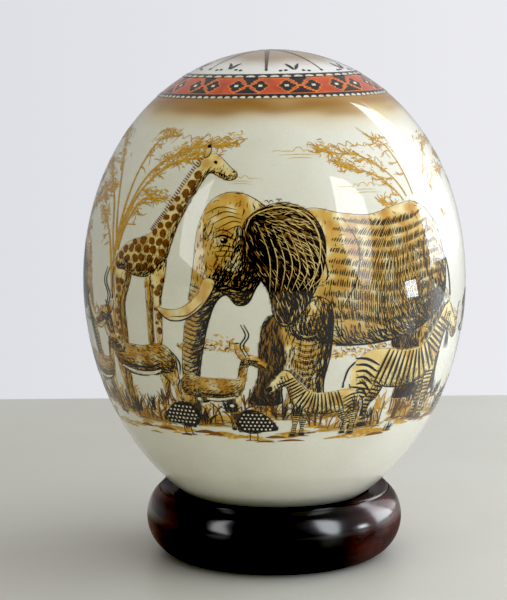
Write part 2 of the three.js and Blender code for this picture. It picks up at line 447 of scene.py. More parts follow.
def zebra(seed):
    """Side view, facing right, its head a little lowered."""
    d = Sheet(seed)
    for points, axis in (
        ([(7, 20), (12.5, 19), (12.2, 11), (11.3, 6.6), (11.6, 2), (12.4, 0.7), (8.2, 0.7),
          (8.8, 3), (9.2, 6.6), (8.4, 11)], [(10, 18), (10.2, 9), (10.1, 2.4)]),
        ([(-16, 20), (-9.6, 19), (-11.4, 13), (-14, 9.6), (-14.2, 5), (-13.4, 1.8), (-12.8, 0.7),
          (-17, 0.7), (-16.6, 3), (-16.8, 6), (-16.8, 10)],
         [(-13, 19), (-14.6, 12), (-15.4, 8), (-15.4, 2.4)]),
    ):
        leg = d.part(points, CREAM, 0.7, pen=0.34)
        d.bands(leg, axis, 1.5, 0.7, reach=8, bow=0.05)
        d.hatch(leg, 80, tone=0.35, gap=0.8, length=1.6, width=0.22)
    d.line("black", [(-22.6, 27.6), (-25.8, 24), (-26.8, 18.4)], 0.75, taper=0.3)
    for k in range(7):
        d.line("black", [(-26.6, 19.6), (-27.4 + 0.25 * k, 15), (-27.8 + 0.4 * k, 11.6)], 0.32)
    body = d.part([(-21.5, 28.6), (-17, 31), (-10, 30.8), (-3, 29.8), (4, 29.8), (9, 31.8),
                   (13, 35.6), (17, 40), (20.4, 43.8), (24, 44.6), (27, 42.4), (29.8, 38.8),
                   (32.2, 35.4), (33.4, 32.6), (32.4, 30.8), (29.8, 30.6), (27.4, 32.2),
                   (25, 34.2), (22.8, 34.4), (21.2, 32), (19.4, 27), (17.6, 22.6), (14.4, 19.2),
                   (8, 16.8), (-1, 15.4), (-9, 16.2), (-14, 18.4), (-20, 18.6), (-23.6, 22),
                   (-23.8, 26)], CREAM, 0.3)
    hind = d.part([(-23.4, 25.4), (-15.6, 24), (-14, 19), (-15.8, 14), (-18.8, 10.4),
                   (-19.2, 6), (-18.6, 2), (-17.8, 0), (-22.6, 0), (-22, 2.6), (-22.2, 6),
                   (-23.2, 10), (-22.6, 14), (-24.4, 19.4)], CREAM, 0.35, pen=0)
    fore = d.part([(11.6, 22), (17.4, 23), (17.4, 15.6), (16.2, 9.8), (16.2, 5), (16.8, 1.8),
                   (17.8, 0), (13.2, 0), (13.6, 2.4), (14, 5), (13.4, 9.6), (12, 15)], CREAM, 0.35,
                  pen=0)
    for leg in (hind, fore):
        below = leg[leg[:, 1] < 19.4]
        for part in np.split(below, np.where(np.hypot(*np.diff(below, axis=0).T) > 3)[0] + 1):
            if len(part) > 2:
                d.ink("black", part, np.full(len(part), 0.36))
    zebra_stripes(d, body, hind, fore)
    zebra_head(d)
    d.hooves(1.9, 1.0, (-20.4, 0.9), (15.4, 0.9), (10.2, 1.3), (-15.0, 1.3))
    d.hatch(body, lambda p: 100 - 0.6 * p[:, 0], tone=0.0, gap=0.75, length=1.8, width=0.22,
            rim=2.6, rim_tone=0.8, spots=[(0, 17, 7, 0.35), (22, 32, 3, 0.3)])
    return d


def giraffe_patches(d, body, hind, fore):
    """Brown patches in staggered rows, smaller on the legs."""
    patches = []
    for polygon, gap, r in ((body, 3.6, 1.62), (hind, 3.0, 1.3), (fore, 3.0, 1.3)):
        low, high = polygon.min(0), polygon.max(0)
        rows = int((high[1] - low[1]) / (gap * 0.87)) + 2
        cols = int((high[0] - low[0]) / gap) + 2
        for j in range(rows):
            for i in range(cols):
                p = low + np.array([(i + 0.5 * (j % 2)) * gap, j * gap * 0.87])
                p = p + d.rng.uniform(-0.32, 0.32, 2) * gap * 0.55
                patches.append((polygon, p, r))
    for polygon, (x, y), r in patches:
        on_face = y > 76.5 or (x > 20 and y > 72)
        above_leg = polygon is not body and y > 36
        spot = np.array([[x, y]])
        if on_face or above_leg or not inside(polygon, spot)[0]:
            continue
        size = min(r * (0.55 if y < 14 else 1), edge_of(polygon, spot)[0][0] + 0.35)
        if size > 0.45:
            d.blob("umber", x, y, size * d.rng.uniform(0.92, 1.12), size * 0.88,
                   angle=d.rng.uniform(0, 180), rough=0.22)


def giraffe_head(d):
    """Mane, eye, nostril and mouth."""
    for k in range(34):
        t = k / 33
        x = np.interp(t, [0, 0.3, 0.6, 1], [3.8, 8.2, 12.4, 17.2])
        y = np.interp(t, [0, 0.3, 0.6, 1], [53.2, 59.6, 68.6, 80.4])
        d.line("umber", [(x, y), (x - 1.5, y + 0.9)], 0.5, per_span=3, taper=0.4)
    d.blob("black", 22.6, 79.6, 0.8, 0.6, angle=-30)
    d.line("black", [(29, 74.6), (31, 74.4)], 0.3)
    d.blob("black", 30.6, 76.0, 0.5, 0.35)
    d.line("black", [(22, 76.4), (26, 75.2), (29.6, 73.8)], 0.3)


def giraffe(seed):
    """Side view, facing right."""
    d = Sheet(seed)
    for points in (
        [(2, 42), (7, 41), (6.2, 31), (5.6, 22), (5.6, 12), (5.0, 4), (5.8, 1), (2.2, 1),
         (2.9, 5), (3, 13), (3.2, 22), (2.4, 31)],
        [(-9.6, 42), (-4.6, 40), (-6.4, 32), (-8.4, 26), (-8.0, 15), (-8.6, 4), (-8, 1),
         (-11.4, 1), (-11, 5), (-10.6, 15), (-11, 25), (-9.8, 33)],
    ):
        leg = d.part(points, SAND, 0.8, pen=0.32, ink="sepia")
        d.hatch(leg, 88, tone=0.45, gap=0.85, length=2.0, width=0.26, ink="sepia")
    d.line("sepia", [(-13, 43), (-16, 37), (-16.4, 29)], 0.5, taper=0.3)
    for k in range(5):
        d.line("black", [(-16.4, 30), (-17 + 0.3 * k, 26), (-17.2 + 0.45 * k, 22.6)], 0.3)
    hind = d.part([(-14, 43.6), (-7.6, 42), (-7.2, 37), (-9.2, 31), (-11.4, 25), (-11.0, 15),
                   (-11.8, 4), (-11, 0), (-14.8, 0), (-14.5, 4), (-14.2, 14), (-14.6, 24),
                   (-13.6, 30), (-14.6, 37)], SAND, 0.4, pen=0.34, ink="sepia")
    body = d.part([(-13, 44), (-9, 48), (-2, 50.4), (3.6, 53), (7.4, 58), (10.8, 65), (13.8, 72),
                   (16.2, 78), (18.4, 82.4), (21.4, 83), (25, 80.8), (28.8, 77.8), (31.8, 75.6),
                   (32, 73.6), (29.4, 72.8), (26, 74), (22.8, 75.4), (21.2, 74.8), (19.4, 70.4),
                   (16.8, 63), (14.2, 55.6), (12.6, 49), (11, 43), (7.6, 38.6), (1.6, 36.6),
                   (-5, 37), (-9.4, 38.4), (-13.4, 38.6), (-14.6, 41.4)], CREAM, 0.35, pen=0.36,
                  ink="sepia")
    fore = d.part([(5, 42), (11, 44), (10.8, 36), (9.6, 29), (9.8, 22), (9.3, 12), (9.6, 3),
                   (10.4, 0), (6.6, 0), (7.2, 4), (7, 12), (6.9, 22), (6.0, 30), (4.8, 36)],
                  CREAM, 0.4, pen=0.3, ink="sepia")
    d.part([(17.6, 81.4), (17.0, 85.2), (17.8, 86.2), (18.8, 85.4), (19.2, 82.4)], SAND, 0.5,
           pen=0.3)
    d.blob("black", 17.8, 85.9, 0.75, 0.75)
    d.part([(16.8, 79.6), (13.8, 80.8), (13.4, 79.6), (16.4, 77.6)], SAND, 0.5, pen=0.3)
    giraffe_patches(d, body, hind, fore)
    d.hatch(body, 70, tone=0.12, gap=0.8, length=1.8, width=0.26, rim=2.2, rim_tone=1.0,
            spots=[(4, 39, 6, 0.5), (-10, 40, 4, 0.4)])
    for leg in (hind, fore):
        d.hatch(leg, 88, tone=0.12, gap=0.8, length=2.0, width=0.24, rim=1.2, rim_tone=0.9)
    giraffe_head(d)
    d.hooves(1.7, 0.9, (-12.8, 0.8), (8.5, 0.8), (4, 1.6), (-9.8, 1.6))
    return d


def rhino(seed):
    """Side view, facing left."""
    d = Sheet(seed)
    for points in (
        [(9, 18), (17, 18), (17, 8), (17.4, 1.2), (10.6, 1.2), (11, 7), (9, 13)],
        [(-14, 18), (-7, 17), (-8.4, 8), (-8, 1.2), (-14.6, 1.2), (-14, 7), (-15.6, 13)],
    ):
        leg = d.part(points, HIDE_DARK, 0.9)
        d.hatch(leg, 86, tone=0.8, gap=0.8)
    d.line("black", [(29.6, 30), (31.4, 25), (30.8, 19)], 0.6, taper=0.3)
    body = d.part([(-16, 34), (-8, 37), (0, 34.6), (8, 34), (17, 36.6), (25, 35), (29.6, 29),
                   (30.6, 21), (27.4, 14.6), (18, 12), (6, 11), (-6, 11.4), (-14, 14),
                   (-18, 21), (-19, 28)], HIDE, 0.5)
    hind = d.part([(16, 22), (25, 24), (29.4, 18), (28, 9), (28.6, 1.4), (27.6, 0), (20.4, 0),
                   (19.8, 1.6), (20.4, 7), (17.6, 13)], HIDE, 0.5)
    fore = d.part([(-12.6, 21), (-3.6, 21), (-3, 11), (-3.8, 6), (-3, 1.2), (-4, 0), (-10.8, 0),
                   (-11.6, 1.4), (-10.8, 6), (-12.4, 12)], HIDE, 0.5)
    d.hatch(body, lambda p: 98 + 0.9 * p[:, 0], tone=0.22, gap=0.85, length=2.8, rim=5,
            rim_tone=1.0, spots=[(-12, 17, 7, 0.7), (10, 14, 8, 0.4), (25, 20, 6, 0.3)])
    d.line("black", [(-9, 36.4), (-12, 28), (-11.6, 20), (-9, 14)], 0.45)
    d.line("black", [(18, 36), (15.6, 29), (16.6, 21), (18.6, 15)], 0.45)
    d.line("sepia", [(22, 34), (23.6, 27), (21.6, 21)], 0.3)
    for leg, x0 in ((hind, 24.2), (fore, -7.4)):
        d.hatch(leg, 84, tone=0.35, gap=0.8, length=2.4, rim=2.2, rim_tone=1.0)
        for y in (3.6, 6, 8.6, 11.6):
            d.line("black", [(x0 - 3.4, y + 0.5), (x0, y - 0.5), (x0 + 3.4, y + 0.6)], 0.24)
    head = d.part([(-16, 35), (-20, 34.6), (-24, 31.6), (-29.4, 28.4), (-33, 24), (-37, 20.4),
                   (-40.2, 16.6), (-40.4, 12.6), (-37.4, 10), (-32.6, 10.6), (-28, 12.2),
                   (-24, 12.6), (-20, 14), (-16.4, 19), (-14.8, 27)], HIDE, 0.6)
    d.hatch(head, 42, tone=0.34, gap=0.78, length=2.4, rim=3, rim_tone=1.0,
            spots=[(-20, 20, 5, 0.5), (-28, 22, 2.2, 0.7), (-36, 13, 3, 0.4)])
    d.part([(-36.8, 20.6), (-39.8, 24.6), (-41.4, 30.8), (-42.6, 35), (-39.6, 31), (-37.2, 27),
            (-34.6, 23.6)], CREAM, 0.4, pen=0.4)
    d.line("sepia", [(-38.4, 22.4), (-40.6, 27.6), (-42, 33)], 0.35)
    d.part([(-32.4, 24.6), (-33.8, 28), (-33.6, 31.6), (-31.4, 28.8), (-29.6, 27.6)], CREAM, 0.5,
           pen=0.4)
    ear = np.array([(-21.6, 33), (-23.4, 37.4), (-21.8, 40.4), (-19.2, 37.6), (-18.8, 34)])
    for dx in (0, 4.2):
        d.part(ear + (dx, 0), HIDE_DARK, 0.7)
        d.line("black", [(-21.2 + dx, 34.4), (-21.6 + dx, 38.2)], 0.8)
    d.blob("black", -28.4, 22.6, 0.9, 0.6)
    d.line("black", [(-30, 23.8), (-28, 24.3), (-26.6, 23)], 0.35)
    d.line("black", [(-39.8, 14.4), (-36, 14.2), (-33, 13)], 0.35)
    d.blob("black", -38.4, 17.2, 0.7, 0.45)
    return d


def ostrich(seed):
    """Side view, facing right."""
    d = Sheet(seed)
    for x, ahead in ((-1.5, -5.0), (3.0, 4.2)):
        d.part([(x - 1.8, 24), (x + 2.2, 24), (x + 1.5, 18), (x + 0.5, 13.6), (x + ahead * 0.4, 7),
                (x + ahead * 0.7 + 0.5, 1.6), (x + ahead * 0.7 + 3.6, 0.2),
                (x + ahead * 0.7 - 1.0, 0.2), (x + ahead * 0.4 - 1.1, 7), (x - 0.9, 13.4),
                (x - 1.9, 18)], SAND, 0.5, pen=0.3, ink="sepia")
    neck = d.part([(7.6, 30), (10.2, 36), (10.8, 43), (10.2, 50), (11.2, 56), (12.8, 58.6),
                   (14.8, 58.6), (17.4, 56.8), (19.8, 56.0), (17.2, 55.2), (14.6, 54.6),
                   (13.2, 51), (13.4, 44), (13.2, 37), (12, 31), (11, 27.6)], SAND, 0.5,
                  pen=0.32, ink="sepia")
    d.hatch(neck, 88, tone=0.3, gap=0.7, length=1.6, width=0.24, rim=1.2, rim_tone=0.8,
            ink="sepia")
    d.blob("black", 14.6, 57.2, 0.6, 0.5)
    d.line("black", [(15.6, 56.2), (17.6, 56.0), (19.4, 55.9)], 0.25)
    body = d.part([(-13, 27.4), (-9, 33), (-2, 36.4), (5, 35.4), (10.6, 31), (11.6, 26.6),
                   (8, 22.6), (1.6, 20.4), (-6, 20.4), (-12, 22)], PLUME, 0.6, pen=0.4)
    for gap in (0.9, 1.1):
        d.hatch(body, lambda p: 158 + 1.2 * p[:, 0], tone=0.75, gap=gap, length=4.2, width=0.42,
                rim=3, rim_tone=0.6, bend=0.3)
    for k in range(16):
        a = math.radians(150 + 60 * k / 15)
        x, y = -10.5, 27 - 0.35 * (k - 8)
        c, s = math.cos(a), math.sin(a)
        d.line("cream", [(x, y), (x + 4 * c, y + 3 * s + 0.8), (x + 8 * c, y + 5.6 * s - 0.8)],
               0.85, taper=0.5)
        d.line("black", [(x, y), (x + 4 * c, y + 3 * s + 1.2), (x + 8.4 * c, y + 6 * s - 0.6)],
               0.22)
    for k in range(12):
        x = -7 + 1.15 * k
        d.line("cream", [(x, 25.6), (x - 2.4, 23), (x - 5.0, 21.4)], 0.6)
        d.line("black", [(x + 0.5, 25.6), (x - 1.8, 22.8), (x - 4.4, 21.0)], 0.3)
    return d


def antelope(seed):
    """Side view, facing left, the head raised."""
    d = Sheet(seed)
    for points in (
        [(8.6, 16), (12.6, 16), (11.0, 10), (12.2, 5), (12.0, 1.2), (10.2, 1.2), (10.4, 5),
         (8.8, 10)],
        [(-8.4, 15), (-5.4, 15), (-6, 9), (-6.4, 5), (-6, 1.2), (-7.8, 1.2), (-7.9, 5),
         (-8.4, 9)],
    ):
        leg = d.part(points, SAND, 0.9, pen=0.28, ink="sepia")
        d.hatch(leg, 86, tone=0.5, gap=0.7, length=1.4, width=0.22, ink="sepia")
    body = d.part([(-10, 24.4), (-4, 24.2), (3, 24.2), (10, 25.4), (14, 23.4), (15, 19.4),
                   (13, 16), (8, 15.4), (0, 13.8), (-7, 14.6), (-11, 17), (-13.4, 21.4),
                   (-14.6, 26.6), (-16, 30.8), (-19.4, 29.8), (-22.6, 28.6), (-24, 29.6),
                   (-23.4, 31.4), (-20, 33.8), (-17, 35.2), (-14.2, 34.6), (-12.4, 31.6),
                   (-11.4, 27.6)], TAN, 0.5, pen=0.34)
    hind = d.part([(15, 21.4), (8.6, 20.4), (8.8, 16), (12.6, 11.4), (12.8, 6), (13.6, 0),
                   (15.8, 0), (15.2, 6), (15.2, 11), (15.4, 16)], TAN, 0.5, pen=0.3)
    fore = d.part([(-11.6, 19), (-7.6, 18), (-8.6, 10.4), (-9, 5), (-8.4, 0), (-10.6, 0),
                   (-10.6, 5), (-10.8, 10.4)], TAN, 0.5, pen=0.3)
    d.line("black", [(-10, 18.4), (-3, 16.8), (4, 17), (9, 18.8)], 0.9, taper=0.6)
    d.line("cream", [(-9, 16.2), (-2, 14.8), (5, 15.2), (9, 16.6)], 1.1, taper=0.6)
    d.hatch(body, 160, tone=0.30, gap=0.62, length=1.7, width=0.24, rim=2.4, rim_tone=1.1,
            spots=[(-15, 31, 2.5, 0.3), (10, 22, 3, 0.3), (-9, 21, 3, 0.3)])
    d.hatch(body, 160, tone=0.16, gap=0.9, length=1.5, width=0.2, rim_tone=0.0, ink="straw")
    for leg in (hind, fore):
        d.hatch(leg, 86, tone=0.2, gap=0.7, length=1.6, width=0.22, rim=1.0, rim_tone=0.9)
    horn = np.array([(-16.2, 34.4), (-14, 39), (-16.4, 43.4), (-14.4, 48)])
    for dx in (0, 1.4):
        d.line("black", horn + (dx, 0), 0.6, taper=0.5)
    d.part([(-14.6, 34.4), (-11.6, 37.4), (-10.6, 36.4), (-12.8, 33)], TAN, 0.6, pen=0.28)
    d.blob("black", -19, 32.4, 0.6, 0.45)
    d.blob("black", -23.6, 29.8, 0.7, 0.6)
    d.line("black", [(14.6, 23), (16.6, 19.6), (16, 15.6)], 0.6)
    d.hooves(1.1, 0.7, (14.6, 0.7), (-9.6, 0.7), (11.2, 0.7), (-6.8, 0.7))
    return d


def guinea_fowl(seed):
    """Side view, facing left."""
    d = Sheet(seed)
    for x in (-0.8, 1.8):
        d.line("sepia", [(x, 4), (x + 0.2, 1.8), (x - 0.2, 0.2)], 0.4, taper=0.1)
        d.line("sepia", [(x - 1.4, 0.1), (x, 0.4), (x + 0.8, 0.1)], 0.3, taper=0.1)
    body = d.part([(-5.6, 8), (-4.4, 11), (-1, 13), (3.4, 12), (7, 9), (9, 5.6), (7.4, 4.6),
                   (4, 4.2), (0, 3.4), (-3.6, 4.6)], PLUME, 0.5, pen=0.3)
    d.hatch(body, 150, tone=0.9, gap=0.6, length=1.5, width=0.36)
    d.part([(-5.4, 8.6), (-6.6, 12), (-6.9, 14.6), (-8.8, 15.2), (-7.6, 16.4), (-6.4, 17.4),
            (-5.2, 16), (-4.4, 13), (-3.4, 10.4)], PLUME, 0.5, pen=0.3)
    d.blob("cream", -6.3, 14.4, 0.75, 0.6)
    d.blob("black", -6.5, 15.2, 0.3, 0.3)
    for j in range(5):
        for i in range(8):
            p = np.array([-3.8 + 1.45 * i + 0.7 * (j % 2), 5.2 + 1.45 * j])
            if inside(body, p[None])[0] and edge_of(body, p[None])[0][0] > 0.6:
                d.blob("cream", p[0], p[1], 0.36, 0.34)
    return d


def limb(d, path, thick, thin, ink="ochre"):
    """A branch: one stroke that thins from thick to thin, knotted here and there."""
    curve = smooth(path, 7, closed=False)
    t = np.linspace(0, 1, len(curve))
    knots = 1 + 0.16 * np.sin(t * d.rng.uniform(14, 24) + d.rng.uniform(0, 6))
    d.ink(ink, curve, (thick + (thin - thick) * t) * knots)
    return curve


def far_acacia(seed):
    """A thorn tree drawn thinly, as if far away."""
    return acacia(seed, leafage=1.7, girth=1.1)


def curls(x, y, slope, length):
    """Short bowed strokes, with a place, a slope in radians and a length for each."""
    t = np.linspace(-0.5, 0.5, 4)
    return np.stack([x[:, None] + (length * np.cos(slope))[:, None] * t,
                     y[:, None] + (length * np.sin(slope))[:, None] * t + 0.6 * (0.25 - t**2)], -1)


def acacia(seed, leafage=5.5, girth=2.1):
    """A thorn tree: a crooked trunk, and long level branches full of twigs and small leaves."""
    d = Sheet(seed)
    rng = d.rng
    tall, spread = 74.0, 30.0
    crook = rng.uniform(-2.5, 2.5)
    limb(d, [(0.6, 0), (-0.6, 0.2 * tall), (crook, 0.42 * tall), (0.5 * crook, 0.6 * tall)],
         girth, 0.57 * girth)
    limb(d, [(1.7, 0), (0.5, 0.2 * tall), (crook + 0.9, 0.42 * tall)], 0.5, 0.2, "umber")
    limbs = ((0.34, -0.42, 0.66), (0.40, 0.50, 0.74), (0.48, -0.78, 0.85), (0.50, 0.86, 0.90),
             (0.56, -0.95, 0.985), (0.57, 0.30, 1.0), (0.58, 1.0, 0.975))
    for rise, side, top in limbs:
        x0 = np.interp(rise, [0, 0.2, 0.42, 0.6], [0.6, -0.6, crook, 0.5 * crook])
        low, high, out = rise * tall, top * tall, side * spread
        branch = limb(d, [(x0, low), (x0 + 0.22 * out, low + 0.60 * (high - low)),
                          (x0 + 0.55 * out, high - 2.4 + rng.uniform(-1, 1)),
                          (x0 + 0.8 * out, high - 0.6 + rng.uniform(-1, 1)), (out, high)],
                      0.48 * girth, 0.36)
        for at in np.linspace(0.30, 0.98, int(6 + abs(out) / 3)):
            foot = branch[int(at * (len(branch) - 1))]
            lift = rng.uniform(-0.5, 1.0)
            step = np.array([math.copysign(rng.uniform(2, 4.5), side), 3.2 * lift])
            bend = foot + 0.5 * step + rng.normal(0, 0.5, 2)
            d.line("ochre", [foot, bend, foot + step], 0.42, taper=0.6)
            for _ in range(3):
                tip = foot + step * rng.uniform(0.4, 1) + rng.normal(0, 1.3, 2)
                d.line("ochre", [bend, (bend + tip) / 2 + rng.normal(0, 0.3, 2), tip], 0.26)
        count = int(abs(out) * leafage)
        at = rng.uniform(0.35, 1.0, count)
        along = branch[(at * (len(branch) - 1)).astype(int)]
        centre = along + np.stack([rng.normal(0, 1.2, count), rng.normal(0.9, 1.25, count)], 1)
        path = curls(*centre.T, rng.normal(0, 0.6, count), rng.uniform(0.8, 2.3, count))
        wide = rng.uniform(0.20, 0.42, count)[:, None] * np.array([0.2, 1, 0.9, 0.15])
        pale = rng.uniform(0, 1, count) < 0.55
        d.ink("sand", path[pale], wide[pale])
        d.ink("ochre", path[~pale], wide[~pale])
        if top > 0.84:
            crest = [(x0 + 0.35 * out, high - 1.0)]
            for k in range(7):
                x = x0 + out * (0.42 + 0.1 * k)
                crest += [(x, high + rng.uniform(1.2, 2.6)), (x + 0.04 * out, high + 0.8)]
            d.line("ochre", crest, 0.26, per_span=3, taper=0.4)
    return d


# ---- the shell's surface ----
# A place on the shell is (x, y): x runs round it to the right, in millimetres of the
# equator, from the meridian that faces -Y; y runs up the meridian from mid-length.

MM = 0.001
TAPER = 0.036
FULLNESS = 0.005
EGG_LOW, EGG_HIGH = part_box("egg")
RING_LOW, RING_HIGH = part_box("stand_ring")
EGG_MIDDLE = (EGG_LOW.z + EGG_HIGH.z) / 2
EGG_HALF = (EGG_HIGH.z - EGG_LOW.z) / 2


def fullness(s):
    """The egg's radius as a share of its mid-length radius, s half-lengths above the middle."""
    return np.sqrt(np.maximum(1 - s * s, 0)) * (1 + TAPER * s + FULLNESS * s * s)


SHARES = np.sin(np.linspace(-math.pi / 2, math.pi / 2, 8001))
EGG_RADIUS = (EGG_HIGH.x - EGG_LOW.x) / 2 / fullness(SHARES).max()
EQUATOR = EGG_RADIUS / MM
ROUND = 2 * math.pi * EQUATOR
ARCS = lengths(np.stack([EGG_RADIUS * fullness(SHARES), EGG_HALF * SHARES], 1)) / MM
ARCS = ARCS - np.interp(0, SHARES, ARCS)
SOUTH, NORTH = ARCS[0], ARCS[-1]


def share_at(y):
    """Half-lengths above the middle, at a meridian distance y."""
    return np.interp(y, ARCS, SHARES)


def arc_at(share):
    """The meridian distance to a share of the half-length."""
    return np.interp(share, SHARES, ARCS)


def radius_at(y):
    """The shell's radius in millimetres at a meridian distance y."""
    return EQUATOR * fullness(share_at(y))


def nearest(x, centre):
    """Places round the shell moved by whole turns, so that they lie next to centre."""
    return x - ROUND * np.round((x - centre) / ROUND)


def on_shell(x, y, lift=0.0):
    """Points on the shell, or lift millimetres above it, with the shell's normals."""
    x, y = np.broadcast_arrays(np.asarray(x, float), np.asarray(y, float))
    s = share_at(y)
    step = 1e-4
    low, high = np.clip(s - step, -1, 1), np.clip(s + step, -1, 1)
    rise = (high - low) * EGG_HALF
    widen = EGG_RADIUS * (fullness(high) - fullness(low))
    length = np.maximum(np.hypot(rise, widen), 1e-12)
    out, up = rise / length, -widen / length
    lon = x / EQUATOR
    radial = np.stack([np.sin(lon), -np.cos(lon), np.zeros_like(lon)], -1)
    normal = radial * out[..., None]
    normal[..., 2] = up
    place = radial * (EGG_RADIUS * fullness(s))[..., None]
    place[..., 2] = EGG_MIDDLE + s * EGG_HALF
    return place + normal * lift * MM, normal


# ---- meshes ----


def new_piece(name, vertices, faces, material, body="root", normals=None):
    """A mesh object from arrays, smooth, riding on a body."""
    mesh = bpy.data.meshes.new(name)
    mesh.from_pydata(np.asarray(vertices).tolist(), [], [list(map(int, f)) for f in faces])
    mesh.update()
    mesh.polygons.foreach_set("use_smooth", np.ones(len(mesh.polygons), bool))
    if normals is not None:
        mesh.normals_split_custom_set_from_vertices(np.asarray(normals).tolist())
    mesh.materials.append(material)
    obj = bpy.data.objects.new(name, mesh)
    bpy.context.scene.collection.objects.link(obj)
    if body:
        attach(obj, body)
    return obj


def grid_faces(rows, columns):
    """Quads between rows of vertices; each row holds columns vertices, all the way round."""
    i = np.arange(columns)
    j = np.arange(rows - 1)[:, None]
    a = j * columns + i
    b = j * columns + (i + 1) % columns
    return np.stack([a, b, b + columns, a + columns], -1).reshape(-1, 4)


def turned(name, profile, segments, material):
    """A closed profile of (radius, height) turned about the Z axis, in metres."""
    angle = np.linspace(0, 2 * math.pi, segments, endpoint=False)
    profile = np.asarray(profile)
    x = profile[:, :1] * np.sin(angle)
    y = -profile[:, :1] * np.cos(angle)
    z = np.broadcast_to(profile[:, 1:], x.shape)
    vertices = np.stack([x, y, z], -1).reshape(-1, 3)
    last = (len(profile) - 1) * segments
    i = np.arange(segments)
    j = (i + 1) % segments
    faces = np.vstack([grid_faces(len(profile), segments),
                       np.stack([last + i, last + j, j, i], -1)])
    return new_piece(name, vertices, faces, material)


def paint(obj, name, domain, colours):
    """Stores a colour for each vertex or each face corner."""
    layer = obj.data.attributes.new(name, "FLOAT_COLOR", domain)
    rgba = np.ones((len(colours), 4), np.float32)
    rgba[:, :3] = colours
    layer.data.foreach_set("color", rgba.ravel())


# ---- node materials ----


def linear(colour):
    """An sRGB colour, 0 to 255, in linear light."""
    c = np.asarray(colour, float) / 255
    return np.where(c <= 0.04045, c / 12.92, ((c + 0.055) / 1.055) ** 2.4)


class Nodes:
    """A few helpers to wire one material."""

    def __init__(self, name="", tree=None):
        if tree is None:
            self.material = bpy.data.materials.new(name)
            self.material.use_nodes = True
            tree = self.material.node_tree
            self.shader = tree.nodes["Principled BSDF"]
        self.tree = tree

    def add(self, kind, feed=None, **values):
        """A node with these settings or inputs; feed goes into its first input."""
        node = self.tree.nodes.new(kind)
        for key, value in values.items():
            if hasattr(node, key):
                setattr(node, key, value)
            else:
                node.inputs[key.replace("_", " ")].default_value = value
        if feed is not None:
            self.link(feed, node.inputs[0])
        return node

    def link(self, a, b):
        self.tree.links.new(a, b)

    def place(self, scale=(1, 1, 1)):
        """The object's own coordinates, stretched."""
        where = self.add("ShaderNodeTexCoord").outputs["Object"]
        return self.add("ShaderNodeMapping", where, Scale=scale).outputs["Vector"]

    def axes(self, place):
        """A place's X, Y and Z."""
        return self.add("ShaderNodeSeparateXYZ", place).outputs

    def noise(self, scale, detail, stretch=(1, 1, 1), rough=0.55):
        node = self.add("ShaderNodeTexNoise", self.place(stretch), Scale=scale, Detail=detail,
                        Roughness=rough)
        return node.outputs["Fac"]

    def ramp(self, value, stops):
        node = self.add("ShaderNodeValToRGB", value)
        elements = node.color_ramp.elements
        while len(elements) < len(stops):
            elements.new(0.5)
        for element, (at, colour) in zip(elements, stops):
            element.position = at
            element.color = (*colour, 1.0)
        return node.outputs["Color"]

    def greys(self, value, stops):
        """A ramp of plain shares."""
        return self.ramp(value, [(at, (share,) * 3) for at, share in stops])

    def mix(self, share, a, b, blend="MIX"):
        node = self.add("ShaderNodeMix", data_type="RGBA", blend_type=blend)
        if isinstance(share, float):
            node.inputs[0].default_value = share
        else:
            self.link(share, node.inputs[0])
        self.link(a, node.inputs[6])
        self.link(b, node.inputs[7])
        return node.outputs[2]

    def reach(self, value, low, high):
        """How far a value has come from low to high, 0 to 1."""
        return self.add("ShaderNodeMapRange", value, From_Min=low, From_Max=high).outputs[0]

    def span(self, value, low, high):
        """A 0 to 1 value mapped onto low to high."""
        return self.add("ShaderNodeMapRange", value, To_Min=low, To_Max=high).outputs[0]

    def bump(self, value, strength, distance):
        node = self.add("ShaderNodeBump", Strength=strength, Distance=distance)
        self.link(value, node.inputs["Height"])
        self.link(node.outputs["Normal"], self.shader.inputs["Normal"])

    def shade(self, sockets):
        """Sets the shader's sockets by name, to a number or from another node."""
        for name, value in sockets.items():
            if isinstance(value, float):
                self.shader.inputs[name].default_value = value
            else:
                self.link(value, self.shader.inputs[name])

    def varnished(self, colour):
        """The finished material: a colour under clear gloss varnish."""
        self.shade({"Base Color": colour, "Roughness": 0.34, "Coat Weight": 1.0,
                    "Coat Roughness": 0.025, "Coat IOR": 1.5, "Specular IOR Level": 0.15})
        return self.material


def shell_material():
    """Ivory shell under varnish: painted washes, mottling and faint pores."""
    n = Nodes("varnished_shell")
    washes = n.add("ShaderNodeAttribute", attribute_name="paint").outputs["Color"]
    mottle = n.ramp(n.noise(70, 5), [(0.30, (0.90, 0.89, 0.86)), (0.72, (1, 1, 1))])
    colour = n.mix(0.7, washes, mottle, "MULTIPLY")
    grain = n.ramp(n.noise(1500, 2), [(0.32, (0.90, 0.88, 0.84)), (0.5, (1, 1, 1))])
    n.shade({"Roughness": n.span(n.noise(420, 3), 0.30, 0.40)})
    return n.varnished(n.mix(0.35, colour, grain, "MULTIPLY"))


def ink_material(name, colour):
    """Drawing ink or paint, a little uneven, under the same varnish."""
    n = Nodes(name)
    tone = linear(colour)
    return n.varnished(n.ramp(n.noise(900, 3), [(0.33, tone * 0.75), (0.67, tone * 1.25 + 0.004)]))


# How full the ring's polish is, by share of its height; where it is rubbed thin, by share of
# the way across from left to right; and the extra polish on the rim at the sides painted lit red.
POLISH = [(0.57, 0.33), (0.68, 1.0), (0.80, 1.0), (0.88, 0.62), (0.966, 0.62), (0.975, 0.10)]
RUBBED = [(0.0, 1.0), (0.035, 0.95), (0.09, 0.42), (0.16, 0.42), (0.26, 1.0), (0.75, 1.0),
          (0.96, 0.60)]
CREST = [(0.966, 0.0), (0.975, 0.6)]


